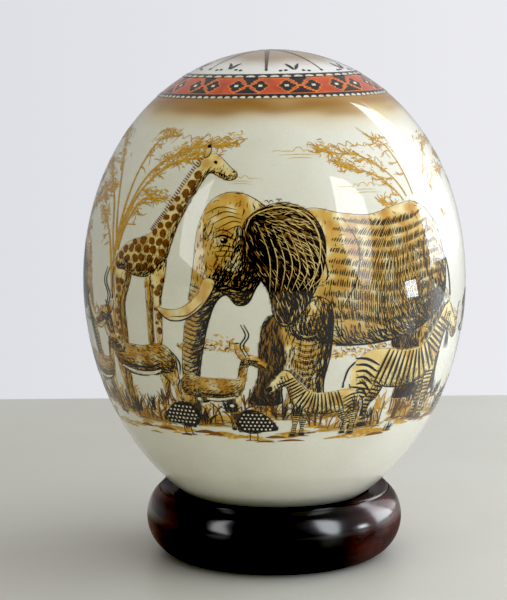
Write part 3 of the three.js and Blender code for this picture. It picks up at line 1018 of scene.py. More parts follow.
def wood_material():
    """Near-black lacquer on red wood, with painted light: the red shows on the left and right
    sides, where light falls on the ring, brighter on the weakly lit left; the polish thin near the
    foot.
    """
    n = Nodes("lacquered_wood")
    grain = n.noise(60, 6, stretch=(1, 1, 4), rough=0.6)
    dark = n.ramp(grain, [(0.30, (0.0003, 0.0001, 0.0001)), (0.70, (0.002, 0.0005, 0.0003))])
    red = n.ramp(grain, [(0.25, (0.018, 0.002, 0.002)), (0.75, (0.13, 0.024, 0.016))])
    # painted light: a brighter red for the left side, where the ring is lit weakly
    painted_light_red = n.ramp(grain, [(0.25, (0.05, 0.008, 0.004)), (0.75, (0.28, 0.075, 0.035))])
    x, _, z = n.axes(n.place())
    # painted light: the red shows only towards the left and right sides, where light falls on the
    # ring; patches break it up
    right, left = n.reach(x, 0.0213, 0.0393), n.reach(x, -0.029, -0.042)
    painted_lit_sides = n.mix(1.0, right, left, "ADD")
    patches = n.ramp(n.noise(48, 5), [(0.40, (0.03, 0.03, 0.03)), (0.64, (1, 1, 1))])
    share = n.mix(1.0, painted_lit_sides, patches, "MULTIPLY")
    n.bump(n.noise(150, 4, stretch=(1, 1, 3)), 0.10, 0.0003)
    height, across = n.reach(z, 0, RING_HIGH.z), n.reach(x, RING_LOW.x, RING_HIGH.x)
    crest = n.mix(1.0, n.greys(height, CREST), painted_lit_sides, "MULTIPLY")
    coat = n.mix(1.0, n.greys(height, POLISH), n.greys(across, RUBBED), "MULTIPLY")
    # the base colour: near-black, turning to the painted lit red on the sides
    n.shade({"Base Color": n.mix(share, dark, n.mix(left, red, painted_light_red)),
             "Roughness": n.span(grain, 0.22, 0.34), "Coat Weight": n.mix(1.0, coat, crest, "ADD"),
             "Specular IOR Level": 0.0, "Coat Roughness": 0.17, "Coat IOR": 1.66})
    return n.material


# ---- the stand ----


def elliptic(centre, across, high, start, end, steps):
    """Points along an ellipse's arc, between two angles."""
    angle = np.linspace(start, end, steps + 1)
    return [(centre[0] + across * math.cos(a), centre[1] + high * math.sin(a)) for a in angle]


def stand_profile():
    """The ring's section in millimetres: belly, shoulder, quirk, bead, dish, seat and hole."""
    radius, top = RING_HIGH.x / MM, RING_HIGH.z / MM
    waist = 12.4
    wide, high = 12.5, 13.0
    belly = elliptic((radius - wide, waist), wide, high, -math.asin(waist / high), 0, 26)
    wide, high, turn = 9.0, 11.3, math.radians(57)
    shoulder = elliptic((radius - wide, waist), wide, high, 0, turn, 20)[1:]
    out, level = shoulder[-1]
    quirk, bead = 0.35, 0.5
    rim = [(out - quirk * 0.55, level - quirk * 0.45)]
    rim += elliptic((out - quirk - bead, top - bead), bead, bead, 0, math.pi, 12)
    out, level = rim[-1]
    seat_low, seat_high, gap, dip = 17.8, 21.8, 0.72, 0.7
    seat = [(shell_radius(z) + gap, z) for z in (seat_high, seat_low)]
    dish = [(out + (seat[0][0] - out) * share,
             level + (seat_high - level) * share - dip * math.sin(math.pi * share))
            for share in np.linspace(0, 1, 14)[1:-1]]
    hole, bevel = seat[1][0], 0.8
    return belly + shoulder + rim + dish + seat + [(hole, bevel), (hole + bevel, 0.0)]


def shell_radius(z):
    """The egg's radius at a height, both in millimetres."""
    return EQUATOR * float(fullness(np.array((z * MM - EGG_MIDDLE) / EGG_HALF)))


def build_stand():
    """The turned ring, finer than the CAD solid, with its arrises eased."""
    profile = np.array(stand_profile()) * MM
    ring = turned("stand_ring_turned", profile, 288, wood_material())
    ring.data.set_sharp_from_angle(angle=math.radians(38))
    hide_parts("stand_ring")


# ---- the shell ----

BAND_LOW, BAND_HIGH = arc_at(0.8185), arc_at(0.9068)
BAND_SAG, BAND_TILT = -0.35, 1.0  # the band hangs a little lower on its left
EDGE_LOW, EDGE_HIGH = BAND_LOW + 1.8, BAND_HIGH - 1.75
IVORY_WASH = linear((240, 238, 224))
IVORY_FOOT = linear((249, 248, 238))
CAP_WHITE = linear((248, 246, 242))
SMOKE = linear((170, 138, 100))
GOLD = linear((160, 108, 0))
GOLD_PALE = linear((208, 172, 66))
# Where the golden wash lies thickest: place round and up the shell, half-sizes, depth.
GOLD_SMEARS = [
    (-22, 68.8, 27, 3.4, 1.0), (-34, 65.4, 19, 2.4, 0.7), (0, 66.6, 20, 2.3, 0.7),
    (26, 68.2, 17, 2.9, 0.9), (34, 64.8, 13, 2.2, 0.6), (64, 69.6, 22, 2.4, 0.8),
    (76, 65.4, 16, 1.6, 0.45), (100, 69.0, 26, 2.6, 0.9), (126, 66.4, 20, 1.9, 0.6),
    (146, 69.4, 24, 2.8, 0.9), (176, 67.0, 22, 1.8, 0.6), (-172, 69.6, 22, 2.6, 0.9),
    (-146, 66.2, 20, 1.8, 0.55), (-128, 69.4, 26, 2.8, 0.9), (-98, 66.0, 18, 1.8, 0.55),
    (-70, 68.4, 26, 3.2, 0.9), (-58, 65.0, 16, 2.4, 0.45),
]


def ease(value, low, high):
    """A soft step from 0 at low to 1 at high."""
    t = np.clip((value - low) / (high - low), 0, 1)
    return t * t * (3 - 2 * t)


def ripple(x, y, seed, scale):
    """A smooth seeded wobble round the shell, about -1 to 1; it closes on itself."""
    rng = np.random.default_rng(seed)
    lon = x / EQUATOR
    total = np.zeros(np.broadcast(x, y).shape)
    for k in range(7):
        turns = rng.integers(1, 4 + int(scale * (k + 1)))
        total = total + np.sin(turns * lon + rng.uniform(-0.12, 0.12) * y * scale / 4
                               + rng.uniform(0, 2 * math.pi)) / 2.2
    return total / 1.6


def blend(base, colour, share):
    """The base colours turned towards another by a share for each place."""
    return base + (colour - base) * np.asarray(share)[..., None]


def band_sway(x):
    """How far up the shell the hand-painted band strays, in millimetres."""
    return BAND_SAG + BAND_TILT * np.sin(np.asarray(x) / EQUATOR)


def ground_colours(x, y):
    """The shell's washes where nothing is drawn: smoky pole, golden shoulder, ivory below."""
    colour = np.broadcast_to(IVORY_WASH, (*x.shape, 3)).copy()
    colour = blend(colour, IVORY_FOOT, ease(-y, 50, 92))
    drift = ripple(x, y, 11, 1.6)
    pale = ease(y + 2.0 * drift, 55.0, 67.5) * 0.72
    bare = 1 - ease(y + 1.6 * drift, 63.5, 71.5) * 0.66
    stray = 0.7 * ripple(x, y, 29, 3.0)
    for at, height, wide, tall, depth in GOLD_SMEARS:
        along = nearest(x - at, 0)
        rise = y - height + stray
        bare = bare * (1 - depth * np.exp(-((along / wide) ** 4) - (rise / tall) ** 2))
    colour = blend(colour, GOLD_PALE, pale)
    colour = blend(colour, GOLD, 1 - bare)
    colour = np.where((y > BAND_HIGH - 1 + band_sway(x))[..., None], CAP_WHITE, colour)
    pole = ease(y + 1.4 * ripple(x, y, 3, 2.0), arc_at(0.929), arc_at(0.974))
    colour = blend(colour, SMOKE, np.where(y > BAND_HIGH, pole, 0) * 0.9)
    return colour


def shell_rows():
    """Meridian distances of the mesh rows, closest where the frieze is."""
    low = np.linspace(SOUTH, -46, 31)[:-1]
    middle = np.linspace(-46, 62, 145)[:-1]
    high = np.linspace(62, NORTH, 52)
    return np.concatenate([low, middle, high])


def build_shell(figures):
    """The painted shell: a grid of places with a fan of triangles at each pole."""
    columns = 432
    rows = shell_rows()[1:-1]
    x = np.linspace(-math.pi, math.pi, columns, endpoint=False) * EQUATOR
    gx, gy = np.meshgrid(x, rows)
    place, normal = on_shell(gx, gy)
    poles = on_shell([0, 0], [SOUTH, NORTH])[0]
    vertices = np.vstack([place.reshape(-1, 3), poles])
    normals = np.vstack([normal.reshape(-1, 3), [(0, 0, -1), (0, 0, 1)]])
    south, north = len(vertices) - 2, len(vertices) - 1
    i = np.arange(columns)
    j = (i + 1) % columns
    top = (len(rows) - 1) * columns
    fans = [(south, b, a) for a, b in zip(i, j)]
    fans += [(north, top + a, top + b) for a, b in zip(i, j)]
    shell = new_piece("egg_shell", vertices, [*grid_faces(len(rows), columns), *fans],
                      shell_material(), normals=normals)
    colours = frieze_washes(figures, gx, gy, ground_colours(gx, gy))
    ends = ground_colours(np.zeros(2), np.array([SOUTH, NORTH]))
    paint(shell, "paint", "POINT", np.vstack([colours.reshape(-1, 3), ends]))
    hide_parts("egg")


# ---- ink on the shell ----


class Ribbons:
    """Gathers one ink's strokes into a thin mesh, lift millimetres above the shell."""

    def __init__(self, seed, lift):
        self.rng = np.random.default_rng(seed)
        self.lift = lift
        self.vertices, self.normals, self.faces = [], [], []
        self.count = 0

    def add(self, x, y, width):
        """Strokes as (n, k) arrays of places and widths in millimetres; width 0 is a gap."""
        stretch = radius_at(y) / EQUATOR
        dx = np.gradient(x, axis=1) * stretch
        dy = np.gradient(y, axis=1)
        length = np.maximum(np.hypot(dx, dy), 1e-9)
        side_x = -dy / length * width / 2 / np.maximum(stretch, 0.02)
        side_y = dx / length * width / 2
        level = self.lift + self.rng.uniform(0, 0.014, (len(x), 1))
        n, k = x.shape
        left, nl = on_shell(x + side_x, y + side_y)
        right, nr = on_shell(x - side_x, y - side_y)
        left = left + nl * (level * MM)[..., None]
        right = right + nr * (level * MM)[..., None]
        vertices = np.stack([left, right], 2).reshape(-1, 3)
        normals = np.stack([nl, nr], 2).reshape(-1, 3)
        start = self.count + (np.arange(n)[:, None] * k + np.arange(k - 1)) * 2
        drawn = (width[:, :-1] > 0) & (width[:, 1:] > 0)
        a = start[drawn]
        faces = np.stack([a, a + 1, a + 3, a + 2], -1)
        self.vertices.append(vertices)
        self.normals.append(normals)
        self.faces.append(faces)
        self.count += len(vertices)

    def build(self, name, material):
        faces = np.vstack(self.faces)
        used, index = np.unique(faces, return_inverse=True)
        new_piece(name, np.vstack(self.vertices)[used], index.reshape(faces.shape), material,
                  normals=np.vstack(self.normals)[used])


# Each ink's colour, and how far in millimetres it lies above the shell.
INKS = {
    "sand": ((222, 184, 92), 0.05),
    "ochre": ((202, 152, 44), 0.065),
    "umber": ((128, 78, 20), 0.08),
    "sepia": ((84, 52, 24), 0.095),
    "black": ((22, 17, 14), 0.11),
    "straw": ((222, 194, 124), 0.127),
    "cream": ((228, 220, 200), 0.142),
}


class Placed:
    """One figure at its place on the shell."""

    def __init__(self, figure, x, y, scale, flip, seed, *options):
        self.sheet = figure(seed, *options)
        self.x, self.y, self.scale, self.flip = x, y, scale, flip

    def lay(self, points):
        """Sheet points as places on the shell."""
        y = self.y + points[..., 1] * self.scale
        x = self.x + points[..., 0] * self.scale * self.flip * EQUATOR / radius_at(y)
        return np.stack([x, y], -1)


WASHES = {
    HIDE: (216, 174, 84), HIDE_DARK: (146, 104, 42), SAND: (216, 174, 74), CREAM: (238, 210, 134),
    IVORY: (243, 232, 196), PLUME: (60, 46, 34), TAN: (216, 164, 64),
}
COATS = (HIDE, TAN, SAND, CREAM)  # brushed wet in wet, with bare shell showing through
COAT_PALE, COAT_DEEP = linear((244, 230, 182)), linear((190, 126, 28))


def frieze_washes(figures, gx, gy, colours):
    """Paints each figure's parts into the shell's colours, from the farthest to the nearest."""
    tone = {name: linear(c) for name, c in WASHES.items()}
    for figure in figures:
        near = np.stack([nearest(gx, figure.x), gy], -1)
        for polygon, wash, shade in figure.sheet.washes:
            outline = figure.lay(polygon)
            hit = inside(outline, near)
            if not hit.any():
                continue
            spot = near[hit]
            low, high = outline[:, 1].min(), outline[:, 1].max()
            height = (spot[:, 1] - low) / (high - low)
            light = 1.12 - shade * 0.55 * (1 - height)
            cloudy = ripple(spot[:, 0] * 3, spot[:, 1] * 6, 17, 6.0)
            brushed = np.broadcast_to(tone[wash], (len(spot), 3))
            if wash in COATS:
                brushed = blend(brushed, COAT_PALE, ease(cloudy, 0.05, 0.9) * 0.75)
                brushed = blend(brushed, COAT_DEEP, ease(-cloudy, 0.1, 0.9) * 0.55)
            light = light + 0.10 * ripple(spot[:, 0] * 5, spot[:, 1] * 9, 19, 6.0)
            colours[hit] = np.clip(brushed * light[:, None], 0, 1)
    return colours


def frieze_ink(figures, ribbons):
    """Lays every figure's strokes, leaving out what a nearer figure covers."""
    outlines = [[f.lay(p) for p in f.sheet.covers] for f in figures]
    for index, figure in enumerate(figures):
        nearer = [o for later in outlines[index + 1:] for o in later]
        for ink, layers in figure.sheet.strokes.items():
            for points, widths in layers:
                x, y = np.moveaxis(figure.lay(points), -1, 0)
                shown = widths * figure.scale
                for outline in nearer:
                    near = np.stack([nearest(x, outline[:, 0].mean()), y], -1)
                    shown = np.where(inside(outline, near), 0.0, shown)
                ribbons[ink].add(x, y, shown)


# ---- the beadwork band and the marks on the cap ----

BAND_REPEATS = 13
# The left half of one repeat, from its top row down: # black, o cream, on red.
BEADWORK = [
    "         ####",
    "         ####",
    "          ###",
    "      ##   ##",
    "     ####  ##",
    "     ####   #",
    "    ######  #",
    "   ###oo###  ",
    "   ###oo###  ",
    "    ######  #",
    "     ####   #",
    "     ####  ##",
    "      ##  ###",
    "         ####",
    "        #####",
    "             ",
]
# How far the painter's spacing strays, in degrees: where, and by how much.
BAND_DRIFT = [(-110, 0.0), (-47.9, -0.6), (-35, -0.3), (-20, -1.0), (-7.4, -0.2), (7.4, -1.0),
              (20, 1.9), (35, 1.7), (47.9, 4.6), (63, 4.2), (110, 0.0)]
BEAD_RED = linear((212, 80, 20))
BEAD_ORANGE = linear((236, 122, 40))
BEAD_BLACK = linear((16, 7, 6))
BEAD_CREAM = linear((246, 236, 206))


def bead_colours():
    """One repeat's colours, row by row: black motifs edged with orange on red."""
    marks = np.array([list(row + row[::-1]) for row in BEADWORK])
    near = np.zeros(marks.shape, bool)
    for axis, step in ((0, 1), (0, -1), (1, 1), (1, -1)):
        near |= np.roll(marks == "#", step, axis)
    near[0, :] = near[-1, :] = True
    colours = np.where(near[..., None], BEAD_ORANGE, BEAD_RED)
    colours = np.where((marks == "#")[..., None], BEAD_BLACK, colours)
    return np.where((marks == "o")[..., None], BEAD_CREAM, colours)


def band_material():
    """Painted beadwork: each bead a little lighter or darker, under the varnish."""
    n = Nodes("beadwork_band")
    beads = n.add("ShaderNodeAttribute", attribute_name="beads").outputs["Color"]
    mottle = n.ramp(n.noise(260, 4), [(0.28, (0.62, 0.60, 0.58)), (0.62, (1.08, 1.05, 1.0))])
    return n.varnished(n.mix(0.85, beads, mottle, "MULTIPLY"))


BAND_LIFT = 0.03  # millimetres above the shell, below every ink


def build_band():
    """The band, one face to a bead."""
    chart = bead_colours()
    rows, per_repeat = chart.shape[:2]
    columns = per_repeat * BAND_REPEATS
    x = np.arange(columns) * (ROUND / columns)
    at, shift = np.radians(BAND_DRIFT).T
    x = x + EQUATOR * np.interp(x / EQUATOR, at, shift, period=2 * math.pi)
    y = np.linspace(EDGE_LOW, EDGE_HIGH, rows + 1)
    gx, gy = np.meshgrid(x, y)
    place, normal = on_shell(gx, gy + band_sway(gx), BAND_LIFT)
    band = new_piece("beadwork_band", place.reshape(-1, 3), grid_faces(rows + 1, columns),
                     band_material(), normals=normal.reshape(-1, 3))
    tiled = np.tile(chart[::-1], (1, BAND_REPEATS, 1))
    paint(band, "beads", "CORNER", np.repeat(tiled.reshape(-1, 3), 4, axis=0))


def rim_line(ribbons, y, width):
    """A black line all the way round the shell."""
    x = np.linspace(-math.pi, math.pi, 361)[None] * EQUATOR
    ribbons["black"].add(x, y + band_sway(x), np.full_like(x, width))


def scallops(ribbons, y, height, count, share):
    """A row of white half-moons, flat side down, round the shell."""
    pitch = ROUND / count
    t = np.linspace(-1, 1, 11)
    x = (np.arange(count)[:, None] * pitch) + t * pitch * share / 2
    w = np.broadcast_to(height * np.sqrt(np.maximum(1 - t**2, 0.004)), x.shape)
    ribbons["cream"].add(x, y + band_sway(x) + w / 2, w)


def band_edges(ribbons):
    """The band's black borders with their white half-moons."""
    rim_line(ribbons, (BAND_LOW + EDGE_LOW) / 2 + 0.15, EDGE_LOW - BAND_LOW - 0.1)
    rim_line(ribbons, (BAND_HIGH + EDGE_HIGH) / 2, BAND_HIGH - EDGE_HIGH)
    rim_line(ribbons, BAND_HIGH + 0.25, 0.35)
    scallops(ribbons, EDGE_HIGH + 0.22, 1.1, 48, 0.76)
    scallops(ribbons, BAND_LOW - 0.05, 1.0, 94, 0.70)


def cap_place(turn, out, across=0.0):
    """A place out from the pole at a bearing in degrees, in shell millimetres."""
    angle = math.radians(turn)
    east = out * math.sin(angle) + across * math.cos(angle)
    south = out * math.cos(angle) - across * math.sin(angle)
    return np.array([east, south])


def cap_stroke(ribbons, plan, widths, ink="sepia"):
    """A stroke near the pole through places given as seen from above."""
    curve = smooth(plan, 8, closed=False)
    share = np.linspace(0.80, 1.0, 400)
    y = arc_at(np.interp(-np.hypot(*curve.T), -EQUATOR * fullness(share), share))
    x = np.unwrap(np.arctan2(*curve.T)) * EQUATOR
    w = np.interp(np.linspace(0, 1, len(curve)), np.linspace(0, 1, len(widths)), widths)
    ribbons[ink].add(x[None], y[None], w[None])


RAY_CENTRE = np.array([-2.3, 0.4])  # the rays meet a little beside the pole
RAY_FOOT = 25.3
RAY_BEARINGS = (-6, 36, 84, 129, 172, 217, 262, 305.5)  # painted by eye, so not quite even
LEAF_BEARINGS = (14.6, 62, 107, 151, 195, 240, 283, 325.2)
LEAF_FOOT, LEAF_HEAD = 25.0, 21.1
DOT_REACH = 25.2


def cap_marks(ribbons):
    """Rays from near the pole, and between each two a V with a pair of dots on each side."""
    for k, turn in enumerate(RAY_BEARINGS):
        foot = cap_place(turn, RAY_FOOT - 0.9 * (k % 2))
        ray = [foot + (RAY_CENTRE - foot) * t for t in (0, 0.2, 0.5, 0.8, 0.97)]
        thick = 1.3 if k % 2 == 0 else 0.62
        cap_stroke(ribbons, ray, thick * np.array([0.62, 0.74, 0.95, 1.15, 1.2, 0.9]))
        cap_stroke(ribbons, [cap_place(turn, RAY_FOOT + 0.5), cap_place(turn, RAY_FOOT - 0.7)],
                   [0.3, 0.95, 1.0, 0.6], "black")
    for k, turn in enumerate(LEAF_BEARINGS):
        lean = 0.3 * math.sin(2.4 * k)
        for side in (-1, 1):
            tip = cap_place(turn, LEAF_HEAD, side * (2.1 + lean * side))
            belly = cap_place(turn, (LEAF_FOOT + LEAF_HEAD) / 2, side * (1.1 + lean))
            cap_stroke(ribbons, [cap_place(turn, LEAF_FOOT, 0.25 * side), belly, tip],
                       [0.5, 1.1, 1.0, 0.35], "black")
        for across in (-4.6, -2.9, 2.9, 4.7):
            middle = cap_place(turn, DOT_REACH, across + lean)
            step = cap_place(turn, 0, 0.6)
            cap_stroke(ribbons, [middle - step, middle, middle + step],
                       [0.4, 1.05, 1.0, 0.35], "black")


# ---- the frieze ----


def tuft(seed, ink):
    """A clump of grass."""
    d = Sheet(seed)
    for _ in range(13):
        foot = d.rng.uniform(-1.6, 1.6)
        lean = foot * 0.9 + d.rng.normal(0, 1.3)
        tall = d.rng.uniform(2.6, 6.4)
        d.line(ink, [(foot, 0), (foot + lean * 0.3, tall * 0.6), (foot + lean, tall)],
               d.rng.uniform(0.22, 0.42), per_span=3, taper=0.7)
    for _ in range(5):
        x = d.rng.uniform(-2.4, 2.4)
        d.line("ochre", [(x - 1.4, -0.2), (x, 0.15), (x + 1.5, -0.1)], 0.5)
    return d


def earth(seed):
    """Loose brush strokes of bare ground."""
    d = Sheet(seed)
    for _ in range(7):
        x, y = d.rng.uniform(-9, 9), d.rng.normal(0, 0.9)
        reach = d.rng.uniform(2.2, 5.0)
        ink = ("ochre", "ochre", "umber", "sand")[d.rng.integers(4)]
        d.line(ink, [(x - reach, y - 0.2), (x, y + 0.25), (x + reach, y - 0.1)],
               d.rng.uniform(0.5, 1.5), taper=0.9)
    return d


def cloud(seed):
    """Looping outlines of a fair-weather cloud."""
    d = Sheet(seed)
    x = -10.0
    points = [(x, 0.0)]
    while x < 9:
        step = d.rng.uniform(2.2, 4.2)
        rise = d.rng.uniform(0.5, 1.6) * (1.4 - abs(x) / 12)
        points += [(x + step * 0.3, rise), (x + step * 0.75, rise * 1.05), (x + step, 0.5)]
        x += step
    d.line("sand", points, 0.26, per_span=4, taper=0.5)
    for y in (-1.0, -2.2):
        w = d.rng.uniform(4, 8)
        d.line("sand", [(-w, y), (0, y + 0.3), (w * 0.8, y)], 0.26)
    return d


def birds(seed):
    """A few birds far off."""
    d = Sheet(seed)
    for k in range(5):
        x, y = d.rng.uniform(-9, 9), d.rng.uniform(-3, 3)
        w = d.rng.uniform(0.9, 1.5)
        d.line("sepia", [(x - w, y + 0.5), (x - w * 0.4, y + 0.9), (x, y)], 0.26, per_span=3)
        d.line("sepia", [(x, y), (x + w * 0.4, y + 0.9), (x + w, y + 0.4)], 0.26, per_span=3)
    return d


def scrub(seed):
    """Low bushes in the distance: small curling strokes."""
    d = Sheet(seed)
    wide, count = 12.0, 168
    u = d.rng.uniform(-1, 1, count)
    x, y = u * wide, d.rng.uniform(0, 1, count) ** 1.5 * 5.5 * (1 - u**2 * 0.8)
    path = curls(x, y, d.rng.normal(0.2, 0.8, count), d.rng.uniform(0.8, 2.0, count))
    w = d.rng.uniform(0.25, 0.5, count)[:, None] * np.array([0.2, 1, 0.9, 0.2])
    pick = d.rng.uniform(0, 1, count)
    for ink, low, high in (("sand", 0, 0.35), ("ochre", 0.35, 0.85), ("sepia", 0.85, 1)):
        chosen = (pick >= low) & (pick < high)
        d.ink(ink, path[chosen], w[chosen])
    return d


def thicket(seed):
    """A bank of dry ground with long grass rising out of it."""
    d = Sheet(seed)
    rng = d.rng
    w = rng.uniform(7, 11)
    d.part([(-w, 0), (-0.6 * w, 1.7), (0, 2.6), (0.5 * w, 1.5), (w, 0.3), (0.4 * w, -0.9),
            (-0.5 * w, -0.8)], SAND, 1.0, pen=0.12, ink="sand")
    for k in range(34):
        x, rise, lean = rng.uniform(-0.85 * w, 0.85 * w), rng.uniform(3, 8.5), rng.normal(0, 1.8)
        d.line(("sepia", "ochre", "ochre", "umber")[k % 4],
               [(x, 0.2), (x + 0.25 * lean, 0.6 * rise), (x + lean, rise)], 0.38, taper=0.12)
    for k in range(12):
        x, y = rng.uniform(-0.8 * w, 0.8 * w), rng.uniform(-0.6, 1.6)
        reach = rng.uniform(1.0, 2.4)
        d.line("umber" if k % 2 else "sepia",
               [(x - reach, y - 0.3), (x, y + 0.2), (x + reach, y - 0.2)], 0.24)
    return d


# Each entry: the figure, its place round and up the shell, its scale, -1 where it is mirrored,
# and its seed. Both lists run from the farthest to the nearest.
FAR = [
    (acacia, -57, -26, 1.10, 1, 3), (far_acacia, 56, -24, 1.04, -1, 4),
    (acacia, 118, -26, 0.98, 1, 5), (acacia, -152, -25, 1.06, -1, 6),
    (acacia, -96, -26, 0.86, 1, 8), (acacia, 184, -25, 1.0, -1, 9),
    (cloud, 10, 50, 0.9, 1, 21), (cloud, 32, 38, 0.8, -1, 22),
    (cloud, -12, 41, 0.7, -1, 23), (cloud, 152, 46, 1.0, 1, 24),
    (cloud, -118, 48, 1.0, -1, 25), (cloud, -176, 47, 0.9, 1, 26),
    (birds, 2, 33, 1.0, 1, 31), (birds, 98, 40, 1.0, -1, 32),
    (birds, -128, 38, 1.0, 1, 33),
    (scrub, -20, -12, 1.0, 1, 41), (scrub, 66, -8, 1.1, 1, 42),
    (scrub, 104, -12, 1.2, 1, 43), (scrub, 150, -9, 1.1, -1, 44),
    (scrub, -70, -8, 1.1, 1, 45), (scrub, -122, -10, 1.2, -1, 46),
    (scrub, -172, -8, 1.2, 1, 47), (scrub, 30, -14, 1.0, -1, 48),
]
HERD = [
    (giraffe, -45, -22, 0.86, 1, 51), (giraffe, 136, -22, 0.84, -1, 52),
    (giraffe, 158, -18, 0.66, -1, 53),
    (elephant, 22, -31, 1.20, 1, 61), (ostrich, 92, -30, 0.86, 1, 62),
    (elephant, -108, -29, 0.86, -1, 63), (rhino, -172, -31, 1.10, 1, 64),
    (antelope, -48, -36, 0.98, 1, 71), (antelope, -20, -39, 0.74, -1, 72),
    (ostrich, 106, -36, 0.72, -1, 73), (antelope, 169, -38, 0.8, -1, 74),
    (antelope, -74, -38, 0.8, -1, 75), (zebra, 47, -39, 0.86, 1, 76),
    (zebra, 132, -38, 0.84, -1, 77), (elephant, -134, -37, 0.42, -1, 78),
    (zebra, 16, -41, 0.52, -1, 79), (guinea_fowl, -32, -42, 0.95, -1, 81),
    (guinea_fowl, -8, -43, 0.9, 1, 82), (guinea_fowl, 84, -42, 0.9, -1, 83),
    (guinea_fowl, -150, -42, 0.95, 1, 84), (guinea_fowl, -158, -43, 0.8, -1, 85),
]


def meadow():
    """Grass and bare ground all round, in front of the herd's feet."""
    rng = np.random.default_rng(90)
    placed = []
    for k in range(40):
        x = (k - 20 + rng.uniform(-0.4, 0.4)) * ROUND / 40
        placed.append(Placed(earth, x, rng.uniform(-43, -37), rng.uniform(0.7, 1.1), 1, 200 + k))
    for k in range(74):
        x = (k - 37 + rng.uniform(-0.6, 0.6)) * ROUND / 74
        ink = ("sepia", "ochre", "black")[rng.integers(3)]
        placed.append(Placed(tuft, x, rng.uniform(-42, -30), rng.uniform(0.6, 1.15), 1, 300 + k,
                             ink))
    return placed


def undergrowth():
    """Banks of grass all round, behind the herd's legs."""
    rng = np.random.default_rng(95)
    count = 26
    return [Placed(thicket, (k - count / 2 + rng.uniform(-0.3, 0.3)) * (ROUND / count),
                   rng.uniform(-40, -33), rng.uniform(0.9, 1.3), 1, 400 + k)
            for k in range(count)]


def frieze():
    """Every figure, from the farthest to the nearest."""
    far, herd = ([Placed(*entry) for entry in group] for group in (FAR, HERD))
    return far + undergrowth() + herd + meadow()


# ---- camera, light and stage ----

CAMERA_PLACE = (0.0, -0.68715, 0.17775)
CAMERA_DIP = 0.1348  # radians below the horizon
CAMERA_TURN = 0.01007  # radians to the left of the egg's axis
CAMERA_LENS = 125.42  # millimetres for a 36 mm long side


def stand_in_scene(name, data, location, rotation):
    """A camera or a lamp at its place."""
    obj = bpy.data.objects.new(name, data)
    obj.location, obj.rotation_euler = location, rotation
    bpy.context.scene.collection.objects.link(obj)
    return obj


def build_camera():
    data = bpy.data.cameras.new("photo_camera")
    data.lens, data.sensor_width = CAMERA_LENS, 36
    data.clip_start, data.clip_end = 0.02, 30
    turn = (math.pi / 2 - CAMERA_DIP, 0, CAMERA_TURN)
    bpy.context.scene.camera = stand_in_scene("photo_camera", data, CAMERA_PLACE, turn)


def direction(azimuth, elevation):
    """Unit vector; azimuth runs from -Y towards +X, both in degrees seen from the egg."""
    a, e = math.radians(azimuth), math.radians(elevation)
    return np.array([math.sin(a) * math.cos(e), -math.cos(a) * math.cos(e), math.sin(e)])


EGG_CENTRE = np.array([0, 0, EGG_MIDDLE])
SOFTBOX_DISTANCE = 1.6


def softbox(name, azimuth, elevation, wide, tall, radiance, tint):
    """A broad soft light that gives no mirror image; sizes in degrees."""
    data = bpy.data.lights.new(name, "AREA")
    data.shape = "RECTANGLE"
    data.size = 2 * SOFTBOX_DISTANCE * math.tan(math.radians(wide) / 2)
    data.size_y = 2 * SOFTBOX_DISTANCE * math.tan(math.radians(tall) / 2)
    data.energy = radiance * data.size * data.size_y * math.pi
    data.color = tint
    way = direction(azimuth, elevation)
    light = stand_in_scene(name, data, EGG_CENTRE + way * SOFTBOX_DISTANCE,
                           Vector(-way).to_track_quat("-Z", "Y").to_euler())
    light.visible_camera = light.visible_glossy = False


def window(name, corners, radiance, tint, distance=4.0):
    """A bright pane that the varnish mirrors; corners are (azimuth, elevation)."""
    n = Nodes(name)
    n.tree.nodes.remove(n.shader)
    glow = n.add("ShaderNodeEmission", Color=(*tint, 1), Strength=radiance)
    n.link(glow.outputs["Emission"], n.tree.nodes["Material Output"].inputs["Surface"])
    points = [EGG_CENTRE + direction(*corner) * distance for corner in corners]
    pane = new_piece(name, points, [range(len(points))], n.material, body=None)
    pane.visible_camera = pane.visible_diffuse = pane.visible_shadow = False


SKY = (0.90, 0.95, 1.0)
HAZE = (0.92, 0.94, 0.95)
DRAPED_WINDOW = [(127, 52), (122, 46), (118, 42), (113, 37), (111, 32), (107, 28), (106, 22),
                 (104, 15), (104, 8), (105, 1), (104, -2), (107, 0), (134, -1), (131, 5),
                 (127, 9), (125, 14), (122, 22), (122, 29), (126, 34), (131, 40)]
SIDE_WINDOW = [(134, 46), (128, 33), (123, 28), (123, 21), (127, 13), (130, 8), (134, 4),
               (138, -2), (150, -2), (147, 3), (143, 9), (140, 15), (136, 23), (132, 31)]
LEFT_SAIL = [(-47, 41), (-60, 29), (-59, 17), (-58, 8), (-40, 1), (-43, 12), (-47, 25)]
RIGHT_SAIL = [(44, 43), (55, 39), (63, 30), (62, 19), (58, -2), (52, -2), (45, 7), (42, 13),
              (41, 26)]
SMALL_CARD = [(77.5, -1.5), (86, -1.5), (88.5, -6.5), (79.5, -6.5)]


def build_lights():
    """Daylight from the right and above; panes that show as reflections on the varnish."""
    softbox("daylight_right", 98, 18, 60, 60, 2.2, (0.85, 0.91, 1.0))
    softbox("daylight_in_front", 52, 14, 36, 40, 1.45, (0.85, 0.91, 1.0))
    softbox("ceiling", 20, 76, 70, 70, 0.58, (1.0, 1.0, 0.97))
    softbox("room_in_front", -20, 7, 110, 34, 0.60, (0.98, 1.0, 0.66))
    window("draped_window", DRAPED_WINDOW, 9.0, SKY)
    window("side_window", SIDE_WINDOW, 3.6, HAZE)
    window("left_sail", LEFT_SAIL, 4.2, HAZE)
    window("right_sail", RIGHT_SAIL, 6.6, SKY)
    window("small_card", SMALL_CARD, 20.0, SKY, distance=0.5)


